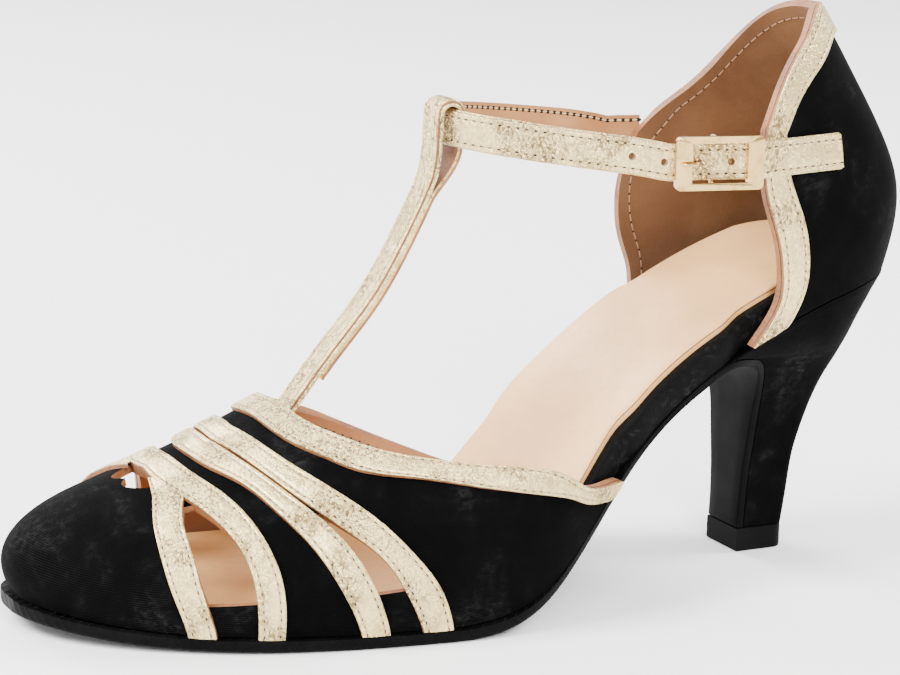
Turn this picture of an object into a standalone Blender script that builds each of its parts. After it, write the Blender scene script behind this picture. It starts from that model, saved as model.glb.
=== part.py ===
"""T-strap court shoe for the left foot, with its buckle fastened.

World frame: +X towards the outer side of the foot, -Y towards the toe, +Z up.
The origin is the centre of the heel tip's underside. Tables hold shares of the named sizes.
Shoe coordinates inside the functions: v to the outer side, u from the heel end towards the
toe, w up from the floor, all in metres.
"""
import bpy
import bmesh
import numpy as np
from mathutils import Matrix, Vector

# Driving sizes in metres
LENGTH = 0.222
BALL_WIDTH = 0.0772
HEEL_WIDTH = 0.048
SEAT_HEIGHT = 0.071
INSTEP_HEIGHT = 0.0488
COUNTER_HEIGHT = 0.065
GAP = 0.0003
WALL = 0.0018
SOLE = 0.0033
SHANK_SOLE = 0.0018
SOLE_EDGE = 0.0014
BOARD = 0.0065
ARCH_RISE = 0.0025
SOCK = 0.0016
SOCK_INSET = 0.0026
LIFT = 0.006
BAND = 0.001
TRIM_WIDTH = 0.007
THROAT_END = 0.42
STRAP_THICK = 0.0014
ANKLE_WIDTH = 0.0087
T_WIDTH = 0.0084
T_THICK = 0.0016
LOOP_ROOM = 0.0013
HOLE_RADIUS = 0.0009
HOLE_PITCH = 0.0082
FRAME_LENGTH = 0.0214
FRAME_HEIGHT = 0.0126
FRAME_THICK = 0.0015
WINDOW_LENGTH = 0.0136
WINDOW_HEIGHT = 0.0094
BAR_RADIUS = 0.0006
PRONG_RADIUS = 0.0005
TAB_THICK = 0.0008
TAB_WIDTH = 0.0072
RIM_SHOW = 0.0004

# Shares of the toe and heel rounding and of the toe cap's drop
HEEL_ROUND = 0.1126
TOE_ROUND = 0.2342
TOE_DROP = 0.117
HEEL_POWER = 2.0
TOE_POWER = 2.25
SIDE_POWER = 2.35
SIDE_FULL = 0.0389
LIFT_SIDE = 0.0005
BREAST_STEPS = 18

# Footprint: along, centre, half width
FOOTPRINT = (
    (0.0, 0.0, 0.306),
    (0.0856, 0.013, 0.311),
    (0.2162, 0.033, 0.324),
    (0.3559, 0.040, 0.335),
    (0.5, 0.093, 0.448),
    (0.6396, 0.044, 0.5),
    (0.7568, -0.010, 0.490),
    (0.8784, -0.057, 0.429),
    (1.0, -0.084, 0.352),
)
# Bottom line: along, height over the sole
BOTTOM = (
    (0.0, 1.0),
    (0.063, 0.982),
    (0.153, 0.905),
    (0.266, 0.725),
    (0.378, 0.433),
    (0.486, 0.108),
    (0.595, 0.0),
    (0.712, 0.0),
    (0.829, 0.007),
    (0.923, 0.025),
    (1.0, 0.062),
)
# Ridge of the vamp: along, height, centre
RIDGE = (
    (0.405, 1.496, 0.0),
    (0.5, 1.322, -0.013),
    (0.595, 1.158, -0.026),
    (0.689, 1.0, -0.045),
    (0.784, 0.793, -0.065),
    (0.878, 0.652, -0.078),
    (1.0, 0.584, -0.091),
)
# Counter section: height, backward bulge, side spread at the back, side spread at the front
COUNTER = (
    (0.0, 0.0, 0.0, 0.0),
    (0.15, 0.030, 0.046, 0.046),
    (0.33, 0.033, 0.0625, 0.077),
    (0.53, -0.045, 0.027, 0.098),
    (0.76, -0.175, -0.069, 0.106),
    (0.91, -0.265, -0.133, 0.100),
    (1.06, -0.365, -0.1875, 0.083),
)
# Counter top line: signed share towards the front, inner side first, and height
COUNTER_TOP = (
    (-1.0, 0.669),
    (-0.9, 0.698),
    (-0.7, 0.731),
    (-0.49, 0.794),
    (-0.27, 0.898),
    (-0.1, 0.969),
    (0.0, 0.994),
    (0.15, 1.012),
    (0.3, 1.0),
    (0.5, 0.957),
    (0.7, 0.912),
    (0.86, 0.855),
    (1.0, 0.774),
)
# Counter front edge: rise, reach on the outer side, reach on the inner side
COUNTER_FRONT = (
    (0.0, 0.225, 0.252),
    (0.1, 0.205, 0.248),
    (0.27, 0.200, 0.2455),
    (0.47, 0.2065, 0.2535),
    (0.68, 0.2165, 0.2555),
    (0.84, 0.2175, 0.2475),
    (1.0, 0.2085, 0.2255),
)
# Heel back line: rise, forward
HEEL_BACK = (
    (0.0, 0.1118),
    (0.14, 0.106),
    (0.29, 0.1013),
    (0.46, 0.087),
    (0.60, 0.0712),
    (0.72, 0.0531),
    (0.83, 0.036),
    (0.93, 0.0145),
    (1.0, 0.0),
)
# Heel breast from the arch down to the tip: forward, height, half width
BREAST = (
    (0.268, 0.699, 0.519),
    (0.250, 0.722, 0.500),
    (0.232, 0.7325, 0.475),
    (0.211, 0.722, 0.427),
    (0.1925, 0.704, 0.365),
    (0.179, 0.634, 0.283),
    (0.174, 0.535, 0.221),
    (0.1745, 0.423, 0.190),
    (0.1755, 0.282, 0.160),
    (0.1765, 0.169, 0.148),
    (0.1775, 0.0885, 0.146),
)
# Throat line: turn from the sole, reach on the outer side, reach on the inner side
THROAT = (
    (0.0, 0.391, 0.441),
    (13.0, 0.450, 0.500),
    (27.5, 0.504, 0.577),
    (38.0, 0.581, 0.628),
    (47.5, 0.647, 0.667),
    (58.0, 0.684, 0.691),
    (71.0, 0.707, 0.708),
    (90.0, 0.7126, 0.7126),
)
# Bands over the vamp: turn from the sole, front edge, rear edge
STRAP_1 = (
    (0.0, 0.867, 0.8414),
    (18.0, 0.882, 0.8554),
    (36.0, 0.8905, 0.8617),
    (54.0, 0.8937, 0.8622),
    (66.0, 0.8905, 0.8514),
)
STRAP_2 = (
    (0.0, 0.8045, 0.7788),
    (20.0, 0.8099, 0.7838),
    (32.0, 0.8162, 0.7910),
    (46.0, 0.8302, 0.8014),
    (60.0, 0.8505, 0.8153),
    (76.0, 0.8775, 0.8324),
    (90.0, 0.8928, 0.8392),
)
STRAP_3 = (
    (0.0, 0.7041, 0.6748),
    (14.0, 0.7297, 0.6973),
    (28.0, 0.7518, 0.7221),
    (45.0, 0.7761, 0.7523),
    (62.0, 0.7955, 0.7730),
    (76.0, 0.8135, 0.7838),
    (90.0, 0.8212, 0.7887),
)
STRAP_4 = (
    (0.0, 0.6410, 0.6090),
    (8.0, 0.6595, 0.6239),
    (18.0, 0.6824, 0.6513),
    (28.0, 0.7113, 0.6784),
    (44.0, 0.7482, 0.7176),
    (60.0, 0.7694, 0.7441),
    (90.0, 0.7874, 0.7613),
)
# Turns at which the windows start and end
WINDOW_A = (11.0, 59.0)
WINDOW_C = (9.0, 38.5)
TOP_WINDOW = 14.5
TOP_WINDOW_REACH = 0.958
TOP_WINDOW_END = 0.883
# T-strap from the throat to the fold: forward share, height share
T_PATH = (
    (0.0, 0.0),
    (0.29, 0.20),
    (0.57, 0.385),
    (0.79, 0.585),
    (0.93, 0.74),
    (0.99, 0.84),
    (1.0, 0.94),
    (1.0, 1.0),
)
LOOP_REACH = 0.548
# Ankle strap in plan from the buckle to the loop: forward share, side share, height share
ANKLE_PLAN = (
    (0.0, 1.0, 0.0),
    (0.16, 0.965, 0.22),
    (0.35, 0.895, 0.41),
    (0.613, 0.735, 0.655),
    (0.848, 0.49, 0.875),
    (0.966, 0.24, 0.98),
    (1.0, 0.0, 1.0),
)
LOOP_RISE = 0.600
BUCKLE_REACH = 0.277
BUCKLE_RISE = 0.492
STRAIGHT = 0.053
BUCKLE_TURN = 12.0
TIP_REACH = 0.121
TIP_RISE = 0.500
INNER_REACH = 0.216
INNER_START = 0.262
INNER_RISE = 0.455

# Colours: name, colour, roughness, metallic
FINISHES = {
    "velvet_black": ((0.012, 0.012, 0.013), 0.85, 0.0),
    "board_black": ((0.010, 0.010, 0.011), 0.6, 0.0),
    "rubber_black": ((0.018, 0.018, 0.019), 0.5, 0.0),
    "leather_gold": ((0.78, 0.68, 0.52), 0.38, 0.55),
    "leather_tan": ((0.72, 0.52, 0.38), 0.6, 0.0),
    "metal_gold": ((0.86, 0.76, 0.60), 0.22, 1.0),
}

for old in list(bpy.data.objects):
    bpy.data.objects.remove(old, do_unlink=True)
SHOE = bpy.data.collections.new("t_strap_shoe")
bpy.context.scene.collection.children.link(SHOE)
CUTTERS = bpy.data.collections.new("cutters")
bpy.context.scene.collection.children.link(CUTTERS)


def spline(table, column):
    """Natural cubic through one column of a table, over its first column."""
    xs = np.array([row[0] for row in table], float)
    ys = np.array([row[column] for row in table], float)
    count = len(xs)
    step = np.diff(xs)
    system = np.zeros((count, count))
    right = np.zeros(count)
    system[0, 0] = 1.0
    system[-1, -1] = 1.0
    for i in range(1, count - 1):
        system[i, i - 1] = step[i - 1]
        system[i, i] = 2 * (step[i - 1] + step[i])
        system[i, i + 1] = step[i]
        right[i] = 6 * ((ys[i + 1] - ys[i]) / step[i] - (ys[i] - ys[i - 1]) / step[i - 1])
    bend = np.linalg.solve(system, right)

    def value(x):
        """Value at x, held at the two ends."""
        x = float(min(max(x, xs[0]), xs[-1]))
        i = int(min(max(np.searchsorted(xs, x) - 1, 0), count - 2))
        a = (xs[i + 1] - x) / step[i]
        b = (x - xs[i]) / step[i]
        curve = (a ** 3 - a) * bend[i] + (b ** 3 - b) * bend[i + 1]
        return a * ys[i] + b * ys[i + 1] + curve * step[i] ** 2 / 6
    return value


foot_centre = spline(FOOTPRINT, 1)
foot_half = spline(FOOTPRINT, 2)
bottom_share = spline(BOTTOM, 1)
ridge_share = spline(RIDGE, 1)
ridge_side = spline(RIDGE, 2)
bulge_back = spline(COUNTER, 1)
spread_back = spline(COUNTER, 2)
spread_front = spline(COUNTER, 3)
counter_top = spline(COUNTER_TOP, 1)
front_outer = spline(COUNTER_FRONT, 1)
front_inner = spline(COUNTER_FRONT, 2)
heel_back = spline(HEEL_BACK, 1)
throat_outer = spline(THROAT, 1)
throat_inner = spline(THROAT, 2)


def bottom(u):
    """Height of the plane where the upper meets the sole."""
    return SOLE + (SEAT_HEIGHT - SOLE) * max(bottom_share(u / LENGTH), 0.0)


def bottom_slope(u):
    """Slope of that plane along the foot."""
    step = 0.001
    low = max(u - step, 0.0)
    high = min(u + step, LENGTH)
    return (bottom(high) - bottom(low)) / (high - low)


def cap(u):
    """Rounding of the footprint at the heel and the toe, 1 between them."""
    share = u / LENGTH
    heel = min(max((HEEL_ROUND - share) / HEEL_ROUND, 0.0), 1.0)
    toe = min(max((share - 1.0 + TOE_ROUND) / TOE_ROUND, 0.0), 1.0)
    return (1 - heel ** HEEL_POWER) ** (1 / HEEL_POWER) * (1 - toe ** TOE_POWER) ** (1 / TOE_POWER)


def centre(u):
    """Centre line of the footprint."""
    return BALL_WIDTH * foot_centre(u / LENGTH)


def half(u):
    """Half width of the footprint before the end rounding."""
    return BALL_WIDTH * foot_half(u / LENGTH)


def ridge_reach(u):
    """Place along the ridge that a rib starting at u climbs to."""
    start = LENGTH * (1 - TOE_ROUND)
    if u <= start:
        return u
    t = min((u - start) / (LENGTH - start), 1.0)
    power = TOE_ROUND / (TOE_ROUND - TOE_DROP)
    return start + LENGTH * (TOE_ROUND - TOE_DROP) * (1 - (1 - t) ** power)


def ridge_height(u):
    """Height of the ridge."""
    return INSTEP_HEIGHT * ridge_share(u / LENGTH)


def vamp_point(u, turn):
    """Outer face of the vamp. Turn 0 is the outer side's foot, 90 the ridge, 180 the inner side's."""
    side = 1.0 if turn <= 90 else -1.0
    angle = np.radians(turn if turn <= 90 else 180 - turn)
    top = ridge_reach(u)
    foot_v = centre(u) + side * half(u) * cap(u)
    ridge_v = BALL_WIDTH * ridge_side(top / LENGTH)
    slope = (ridge_height(top + 0.0005) - ridge_height(top - 0.0005)) / 0.001
    drop = slope * (top - u)
    inward = 1 - max(np.cos(angle), 0.0) ** (2 / SIDE_POWER)
    rise = np.sin(angle) ** (2 / SIDE_POWER)
    height = ridge_height(top) - bottom(u) - drop
    run_v = foot_v - ridge_v
    run_u = u - top
    run = np.hypot(run_v, run_u) + 1e-9
    full = BALL_WIDTH * SIDE_FULL * 4 * np.sin(angle) * (1 - np.sin(angle))
    return np.array([
        foot_v - run_v * inward + full * run_v / run,
        u - run_u * inward + full * run_u / run,
        bottom(u) + height * rise + drop * inward,
    ])


def counter_point(u, side, h):
    """Outer face of the counter at a height h over the seat, side 1 outer and -1 inner."""
    share = h / COUNTER_HEIGHT
    front = u / (0.27 * LENGTH)
    mix = min(max(front, 0.0), 1.3)
    spread = HEEL_WIDTH * (spread_back(share) * (1 - mix) + spread_front(share) * mix)
    back = COUNTER_HEIGHT * bulge_back(share)
    middle = centre(u) * (1 - min(max(share / 0.69, 0.0), 1.0))
    return np.array([
        middle + side * cap(u) * (half(u) + spread),
        u - (1 - min(mix, 1.0)) * back,
        bottom(u) + h,
    ])


def lifted(surface, a, b, lift, away, step_a, step_b):
    """Point of a surface moved along its normal, away from a given point."""
    here = surface(a, b)
    along = surface(a + step_a, b) - surface(a - step_a, b)
    across = surface(a, b + step_b) - surface(a, b - step_b)
    normal = np.cross(along, across)
    normal = normal / (np.linalg.norm(normal) + 1e-15)
    if np.dot(normal, here - away) < 0:
        normal = -normal
    return here + normal * lift


def vamp_lifted(u, turn, lift):
    """Vamp point moved off the surface."""
    turn = min(max(turn, 0.0), 180.0)
    low = min(max(turn, 0.6), 179.4)
    base = vamp_point(u, low)
    away = np.array([centre(u), u - 0.01, bottom(u) + 0.002])
    moved = lifted(vamp_point, u, low, lift, away, 0.0004, 0.5)
    return vamp_point(u, turn) + moved - base


def counter_lifted(u, side, h, lift):
    """Counter point moved off the surface."""
    near = max(u, 0.0006)

    def face(a, b):
        """Counter face of this side."""
        return counter_point(a, side, b)
    base = face(near, h)
    away = np.array([0.0, 0.35 * LENGTH * 0.5, bottom(near) + h])
    moved = lifted(face, near, h, lift, away, 0.0004, 0.0004)
    shift = moved - base
    if u < near:
        shift = np.array([shift[0] * u / near, shift[1], shift[2]])
    return face(u, h) + shift


def world(point):
    """Shoe coordinates to the world frame."""
    return (point[0] - LIFT_SIDE, -(point[1] - TIP_CENTRE), point[2])


def finish(name, mesh, colour, collection=None):
    """Object from a bmesh, with its material."""
    bmesh.ops.remove_doubles(mesh, verts=mesh.verts, dist=0.000002)
    bmesh.ops.recalc_face_normals(mesh, faces=mesh.faces)
    data = bpy.data.meshes.new(name)
    mesh.to_mesh(data)
    mesh.free()
    item = bpy.data.objects.new(name, data)
    (collection or SHOE).objects.link(item)
    if colour:
        item.data.materials.append(material(colour))
    return item


def material(name):
    """Plain material of a finish."""
    found = bpy.data.materials.get(name)
    if found:
        return found
    colour, rough, metal = FINISHES[name]
    made = bpy.data.materials.new(name)
    made.use_nodes = True
    shader = made.node_tree.nodes["Principled BSDF"]
    shader.inputs["Base Color"].default_value = (colour[0], colour[1], colour[2], 1.0)
    shader.inputs["Roughness"].default_value = rough
    shader.inputs["Metallic"].default_value = metal
    return made


def grid_mesh(grid):
    """Open sheet from rows of points."""
    mesh = bmesh.new()
    rows = [[mesh.verts.new(world(p)) for p in row] for row in grid]
    for first, second in zip(rows, rows[1:]):
        for i in range(len(first) - 1):
            mesh.faces.new((first[i], first[i + 1], second[i + 1], second[i]))
    return mesh


def shell(name, grid, colour, thick, outward, away):
    """Sheet given a wall thickness by Solidify, to the side named by outward."""
    mesh = grid_mesh(grid)
    bmesh.ops.remove_doubles(mesh, verts=mesh.verts, dist=0.000002)
    bmesh.ops.recalc_face_normals(mesh, faces=mesh.faces)
    middle = Vector(world(away))
    score = 0.0
    for face in mesh.faces:
        score += face.normal.dot(face.calc_center_median() - middle) * face.calc_area()
    if score < 0:
        bmesh.ops.reverse_faces(mesh, faces=mesh.faces)
    data = bpy.data.meshes.new(name)
    mesh.to_mesh(data)
    mesh.free()
    item = bpy.data.objects.new(name, data)
    SHOE.objects.link(item)
    item.data.materials.append(material(colour))
    solid = item.modifiers.new("wall", "SOLIDIFY")
    solid.thickness = thick
    solid.offset = 1.0 if outward else -1.0
    solid.use_even_offset = False
    return item


def slab(name, top, under, colour, collection=None):
    """Closed solid between two grids of the same size."""
    mesh = bmesh.new()
    high = [[mesh.verts.new(world(p)) for p in row] for row in top]
    low = [[mesh.verts.new(world(p)) for p in row] for row in under]
    rows = len(high)
    cols = len(high[0])
    for i in range(rows - 1):
        for j in range(cols - 1):
            mesh.faces.new((high[i][j], high[i][j + 1], high[i + 1][j + 1], high[i + 1][j]))
            mesh.faces.new((low[i][j], low[i + 1][j], low[i + 1][j + 1], low[i][j + 1]))
    for i in range(rows - 1):
        mesh.faces.new((high[i][0], high[i + 1][0], low[i + 1][0], low[i][0]))
        mesh.faces.new((high[i][-1], low[i][-1], low[i + 1][-1], high[i + 1][-1]))
    for j in range(cols - 1):
        mesh.faces.new((high[0][j], low[0][j], low[0][j + 1], high[0][j + 1]))
        mesh.faces.new((high[-1][j], high[-1][j + 1], low[-1][j + 1], low[-1][j]))
    return finish(name, mesh, colour, collection)


def tube(name, rings, colour, collection=None):
    """Closed solid through rings of points, its two ends filled."""
    mesh = bmesh.new()
    loops = [[mesh.verts.new(world(p)) for p in ring] for ring in rings]
    for first, second in zip(loops, loops[1:]):
        count = len(first)
        for i in range(count):
            j = (i + 1) % count
            mesh.faces.new((first[i], first[j], second[j], second[i]))
    mesh.faces.new(loops[0])
    mesh.faces.new(list(reversed(loops[-1])))
    return finish(name, mesh, colour, collection)


def cut(item, cutter, kind="DIFFERENCE"):
    """Boolean with a hidden cutter."""
    cutter.hide_render = True
    cutter.display_type = "WIRE"
    step = item.modifiers.new(cutter.name, "BOOLEAN")
    step.operation = kind
    step.solver = "EXACT"
    step.object = cutter


def steps(count, start=0.0, end=1.0):
    """Even values from start to end."""
    return [start + (end - start) * i / (count - 1) for i in range(count)]


def eased(count, start, end):
    """Values that crowd at both ends."""
    return [start + (end - start) * (1 - np.cos(np.pi * i / (count - 1))) / 2 for i in range(count)]


# Heel breast path, outer face
def breast_knots():
    """Knots of the breast: share of the path, forward, height, half width."""
    points = [(LENGTH * f, SEAT_HEIGHT * h, HEEL_WIDTH * w) for f, h, w in BREAST]
    drop = LIFT + GAP - points[-1][1]
    total = points[0][1] - points[-1][1]
    points = [(f, h + drop * (points[0][1] - h) / total, w) for f, h, w in points]
    lengths = [0.0]
    for first, second in zip(points, points[1:]):
        lengths.append(lengths[-1] + np.hypot(second[0] - first[0], second[1] - first[1]))
    return tuple((s / lengths[-1],) + p for s, p in zip(lengths, points))


BREAST_KNOTS = breast_knots()
breast_u = spline(BREAST_KNOTS, 1)
breast_w = spline(BREAST_KNOTS, 2)
breast_half = spline(BREAST_KNOTS, 3)
WEDGE = breast_u(0.0)
WEDGE_RUN = 0.06 * LENGTH
WEDGE_STEP = bottom(WEDGE) - SHANK_SOLE * np.sqrt(1 + bottom_slope(WEDGE) ** 2) - breast_w(0.0)
TIP_BACK = LENGTH * heel_back(0.0)
TIP_FRONT = breast_u(1.0)
TIP_CENTRE = (TIP_BACK + TIP_FRONT) / 2


def breast_point(share, depth):
    """Breast path moved back into the heel by depth."""
    step = 0.004
    low = max(share - step, 0.0)
    high = min(share + step, 1.0)
    du = breast_u(high) - breast_u(low)
    dw = breast_w(high) - breast_w(low)
    size = np.hypot(du, dw)
    return breast_u(share) + depth * dw / size, breast_w(share) - depth * du / size


def tip_mix(width):
    """0 at the heel tip's width, 1 at the seat's."""
    return (width - breast_half(1.0)) / (breast_half(0.0) - breast_half(1.0))


# Sole
def sole_extent(u):
    """How far the sole stands out past the upper, and its thickness."""
    forward = min(max((u / LENGTH - 0.44) / 0.12, 0.0), 1.0)
    ease = forward * forward * (3 - 2 * forward)
    return SOLE_EDGE * ease, SHANK_SOLE + (SOLE - SHANK_SOLE) * ease


def sole_rows():
    """Top and under rows of the outsole, from the toe to the heel tip."""
    top = []
    under = []
    start = LENGTH * (1 - TOE_ROUND)
    reach = LENGTH - start
    for share in eased(36, 0.002, 1.0):
        u = LENGTH - (LENGTH - WEDGE - 0.0001) * share ** 1.15
        out, thick = sole_extent(u)
        spread = half(u) * cap(u) + out
        place = u
        if u > start:
            place = start + (u - start) * (reach + out) / reach
        slope = bottom_slope(u)
        level = bottom(u) - GAP
        low = max(level + GAP - thick * np.sqrt(1 + slope * slope), 0.0)
        blend = min(max((WEDGE_RUN + WEDGE - u) / WEDGE_RUN, 0.0), 1.0)
        low -= WEDGE_STEP * blend * blend * (3 - 2 * blend)
        rim = 0.2 * thick
        middle = centre(u)
        pull = min(spread, rim * 1.6)
        top.append([(middle - spread, place, level), (middle - spread + pull * 0.3, place, level),
                    (middle + spread - pull * 0.3, place, level), (middle + spread, place, level)])
        under.append([(middle - spread, place, low + rim), (middle - spread + pull, place, low),
                      (middle + spread - pull, place, low), (middle + spread, place, low + rim)])
    for share in steps(BREAST_STEPS, 0.0, 1.0):
        width = breast_half(share)
        mix = tip_mix(width)
        outer_u, outer_w = breast_point(share, 0.0)
        inner_u, inner_w = breast_point(share, SHANK_SOLE)
        middle = LIFT_SIDE * (1 - mix) + centre(outer_u) * mix
        rim_u, rim_w = breast_point(share, 0.2 * SHANK_SOLE)
        pull = 0.32 * SHANK_SOLE
        if share < 0.05:
            inner_u = min(inner_u, WEDGE - 0.0001)
        top.append([(middle - width, inner_u, inner_w), (middle - width + pull * 0.3, inner_u, inner_w),
                    (middle + width - pull * 0.3, inner_u, inner_w), (middle + width, inner_u, inner_w)])
        under.append([(middle - width, rim_u, rim_w), (middle - width + pull, outer_u, outer_w),
                      (middle + width - pull, outer_u, outer_w), (middle + width, rim_u, rim_w)])
    return top, under


SOLE_TOP, SOLE_UNDER = sole_rows()
slab("outsole", SOLE_TOP, SOLE_UNDER, "rubber_black")


# Heel
def heel_ring(rise):
    """One level of the heel block, from the inner front round the back to the outer front."""
    top = rise >= 0.999
    share = 1 - min(rise / 0.97, 1.0)
    front_u, front_w = breast_point(min(max(share, 0.0), 1.0), SHANK_SOLE + GAP)
    if share < 0.03:
        front_u = min(front_u, WEDGE - 0.0004)
        front_w = min(front_w + 2 * GAP, bottom(front_u) - 2 * GAP)
    if rise <= 0.0:
        front_w = LIFT + GAP
    width = breast_half(share)
    mix = tip_mix(width)
    if top:
        front_u = WEDGE - 0.0004
        front_w = bottom(front_u) - GAP
    back_u = LENGTH * heel_back(rise)
    back_w = LIFT + GAP + rise * (bottom(0.0) - 2 * GAP - LIFT)
    ease = min(max((rise - 0.72) / 0.28, 0.0), 1.0)
    ease = ease * ease * (3 - 2 * ease)
    seat_front = WEDGE - 0.0004
    sides = []
    for g in eased(15, 0.0, 1.0):
        g = g ** 1.25
        u = back_u + (front_u - back_u) * g
        seat_u = seat_front * g
        level = back_w + (front_w - back_w) * g
        seat = bottom(u) - GAP - (bottom(front_u) - GAP - front_w) * g - (bottom(0.0) - GAP - back_w) * (1 - g)
        w = level * (1 - ease) + seat * ease
        near = min(max((0.3 - g) / 0.3, 0.0), 1.0)
        box = (1 - near ** 2.6) ** (1 / 2.6)
        round_top = cap(seat_u) * half(seat_u) / half(seat_front)
        spread = width * (box * (1 - mix) + round_top * mix)
        middle = LIFT_SIDE * (1 - mix) + centre(seat_u) * mix
        sides.append((middle, spread, u, w))
    return sides


def heel_block():
    """Covered heel: side rows tied to the breast and the seat."""
    mesh = bmesh.new()
    rises = steps(BREAST_STEPS, 0.0, 0.97) + [1.0]
    left = []
    right = []
    for rise in rises:
        ring = heel_ring(rise)
        lows = []
        highs = []
        for i, (middle, spread, u, w) in enumerate(ring):
            if i == 0:
                shared = mesh.verts.new(world((middle, u, w)))
                lows.append(shared)
                highs.append(shared)
            else:
                lows.append(mesh.verts.new(world((middle - spread, u, w))))
                highs.append(mesh.verts.new(world((middle + spread, u, w))))
        left.append(lows)
        right.append(highs)
    for k in range(len(rises) - 1):
        for i in range(len(left[0]) - 1):
            mesh.faces.new((left[k][i], left[k][i + 1], left[k + 1][i + 1], left[k + 1][i]))
            mesh.faces.new((right[k][i], right[k + 1][i], right[k + 1][i + 1], right[k][i + 1]))
        mesh.faces.new((left[k][-1], right[k][-1], right[k + 1][-1], left[k + 1][-1]))
    for k in (0, len(rises) - 1):
        mesh.faces.new((left[k][0], left[k][1], right[k][1]))
        for i in range(1, len(left[0]) - 1):
            mesh.faces.new((left[k][i], left[k][i + 1], right[k][i + 1], right[k][i]))
    return finish("heel_block", mesh, "velvet_black")


heel_block()


def top_lift():
    """Heel tip in the outline of the heel's foot, its edges softened."""
    ring = heel_ring(0.0)[1:]
    stretch = (TIP_FRONT - TIP_BACK) / (ring[-1][2] - TIP_BACK)
    top = []
    under = []
    for middle, spread, u, _ in ring:
        place = TIP_BACK + (u - TIP_BACK) * stretch
        sides = (middle - spread - 0.00015, middle, middle + spread + 0.00015)
        top.append([(v, place, LIFT) for v in sides])
        under.append([(v, place, 0.0) for v in sides])
    item = slab("top_lift", top, under, "rubber_black")
    bevel = item.modifiers.new("edge", "BEVEL")
    bevel.width = 0.0005
    bevel.segments = 2
    bevel.limit_method = "ANGLE"
    return item


top_lift()


# Insole board and sock
def board_inset(u, side):
    """How far the board sits inside the upper where the upper wraps it."""
    share = u / LENGTH
    back = front_outer(0.0) if side > 0 else front_inner(0.0)
    ahead = throat_outer(0.0) if side > 0 else throat_inner(0.0)
    rise = min(max((share - back) / 0.035, 0.0), 1.0)
    fall = min(max((ahead - share) / 0.035, 0.0), 1.0)
    open_side = min(rise, fall)
    open_side = open_side * open_side * (3 - 2 * open_side)
    return (WALL + 2 * GAP) * (1 - open_side)


def board_thick(u):
    """Board thickness measured straight up."""
    slope = bottom_slope(u)
    ahead = min(max((u / LENGTH - 0.45) / 0.15, 0.0), 1.0)
    return BOARD * (1 - 0.515 * ahead) * np.sqrt(1 + slope * slope)


def board_edge(place, side, inset):
    """Edge of a layer at a place along the foot, pulled in all round by inset."""
    tuck = board_inset(place, side) + inset
    length_in = WALL + 2 * GAP + inset
    u = LENGTH * 0.5 + (place - LENGTH * 0.5) / (1 - 2 * length_in / LENGTH)
    return centre(place) + side * max(half(u) - tuck, 0.001) * cap(u)


def board_ends(inset):
    """First and last place of a layer."""
    length_in = WALL + 2 * GAP + inset + 0.0003
    return length_in, LENGTH - length_in


def arch_rise(place, share):
    """Extra height of the board's and sock's inner edge along the arch."""
    along = place / LENGTH
    rise = min(max((along - 0.03) / 0.1, 0.0), 1.0)
    fall = min(max((0.5 - along) / 0.1, 0.0), 1.0)
    return ARCH_RISE * rise * fall * (1 - share) ** 1.5


def layer(inset, height, places, rim):
    """Top and under grids of a layer: the board without a height, the sock with one."""
    top = []
    under = []
    for place in places:
        left_v = board_edge(place, -1.0, inset)
        right_v = board_edge(place, 1.0, inset)
        slope = np.sqrt(1 + bottom_slope(place) ** 2)
        base = bottom(place)
        peak = base + board_thick(place)
        if height is not None:
            base = peak + GAP
            peak = base + height * slope
        top_row = []
        under_row = []
        for share, fall in ((0.0, 1.0), (0.04, 0.25), (0.16, 0.0), (0.5, 0.0), (0.84, 0.0), (0.96, 0.25), (1.0, 1.0)):
            v = left_v + (right_v - left_v) * share
            top_row.append((v, place, peak - rim * fall + arch_rise(place, share)))
            lift = arch_rise(place, share) if height is not None else 0.0
            under_row.append((v, place, base + lift))
        top.append(top_row)
        under.append(under_row)
    return top, under


BOARD_PLACES = eased(34, *board_ends(0.0))
SOCK_ENDS = board_ends(SOCK_INSET)
SOCK_END = LENGTH * 0.955
SOCK_PLACES = [p for p in BOARD_PLACES if SOCK_ENDS[0] + 0.001 < p < SOCK_END - 0.002]
SOCK_PLACES = [SOCK_ENDS[0]] + SOCK_PLACES + [SOCK_END]
BOARD_TOP, BOARD_UNDER = layer(0.0, None, BOARD_PLACES, 0.0012)
slab("insole_board", BOARD_TOP, BOARD_UNDER, "board_black")
SOCK_TOP, SOCK_UNDER = layer(SOCK_INSET, SOCK, SOCK_PLACES, 0.0009)
slab("sock_lining", SOCK_TOP, SOCK_UNDER, "leather_tan")


# Front upper
def throat(turn):
    """Place of the throat edge at a turn."""
    if turn <= 90:
        return LENGTH * throat_outer(turn)
    return LENGTH * throat_inner(180 - turn)


def turns(count):
    """Turns from foot to foot, crowded at the feet."""
    return [180 * (t + 0.08 * np.sin(-2 * np.pi * t) * 0.9) for t in steps(count)]


def vamp():
    """Front upper: a wall over the last, open at the throat and underneath."""
    grid = []
    for share in steps(21):
        row = []
        for turn in turns(29):
            start = throat(turn)
            u = start + (LENGTH - start) * (1 - (1 - share) ** 1.7)
            row.append(vamp_point(u, turn))
        grid.append(row)
    return shell("vamp", grid, "velvet_black", WALL, False, (0.0, LENGTH * 0.7, 0.01))


VAMP = vamp()


def edge(table, turn, column):
    """Edge of a band at a turn, mirrored past the ridge."""
    fold = turn if turn <= 90 else 180 - turn
    return LENGTH * EDGES[table][column](fold)


EDGES = {
    "1": (spline(STRAP_1, 1), spline(STRAP_1, 2)),
    "2": (spline(STRAP_2, 1), spline(STRAP_2, 2)),
    "3": (spline(STRAP_3, 1), spline(STRAP_3, 2)),
    "4": (spline(STRAP_4, 1), spline(STRAP_4, 2)),
}


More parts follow.
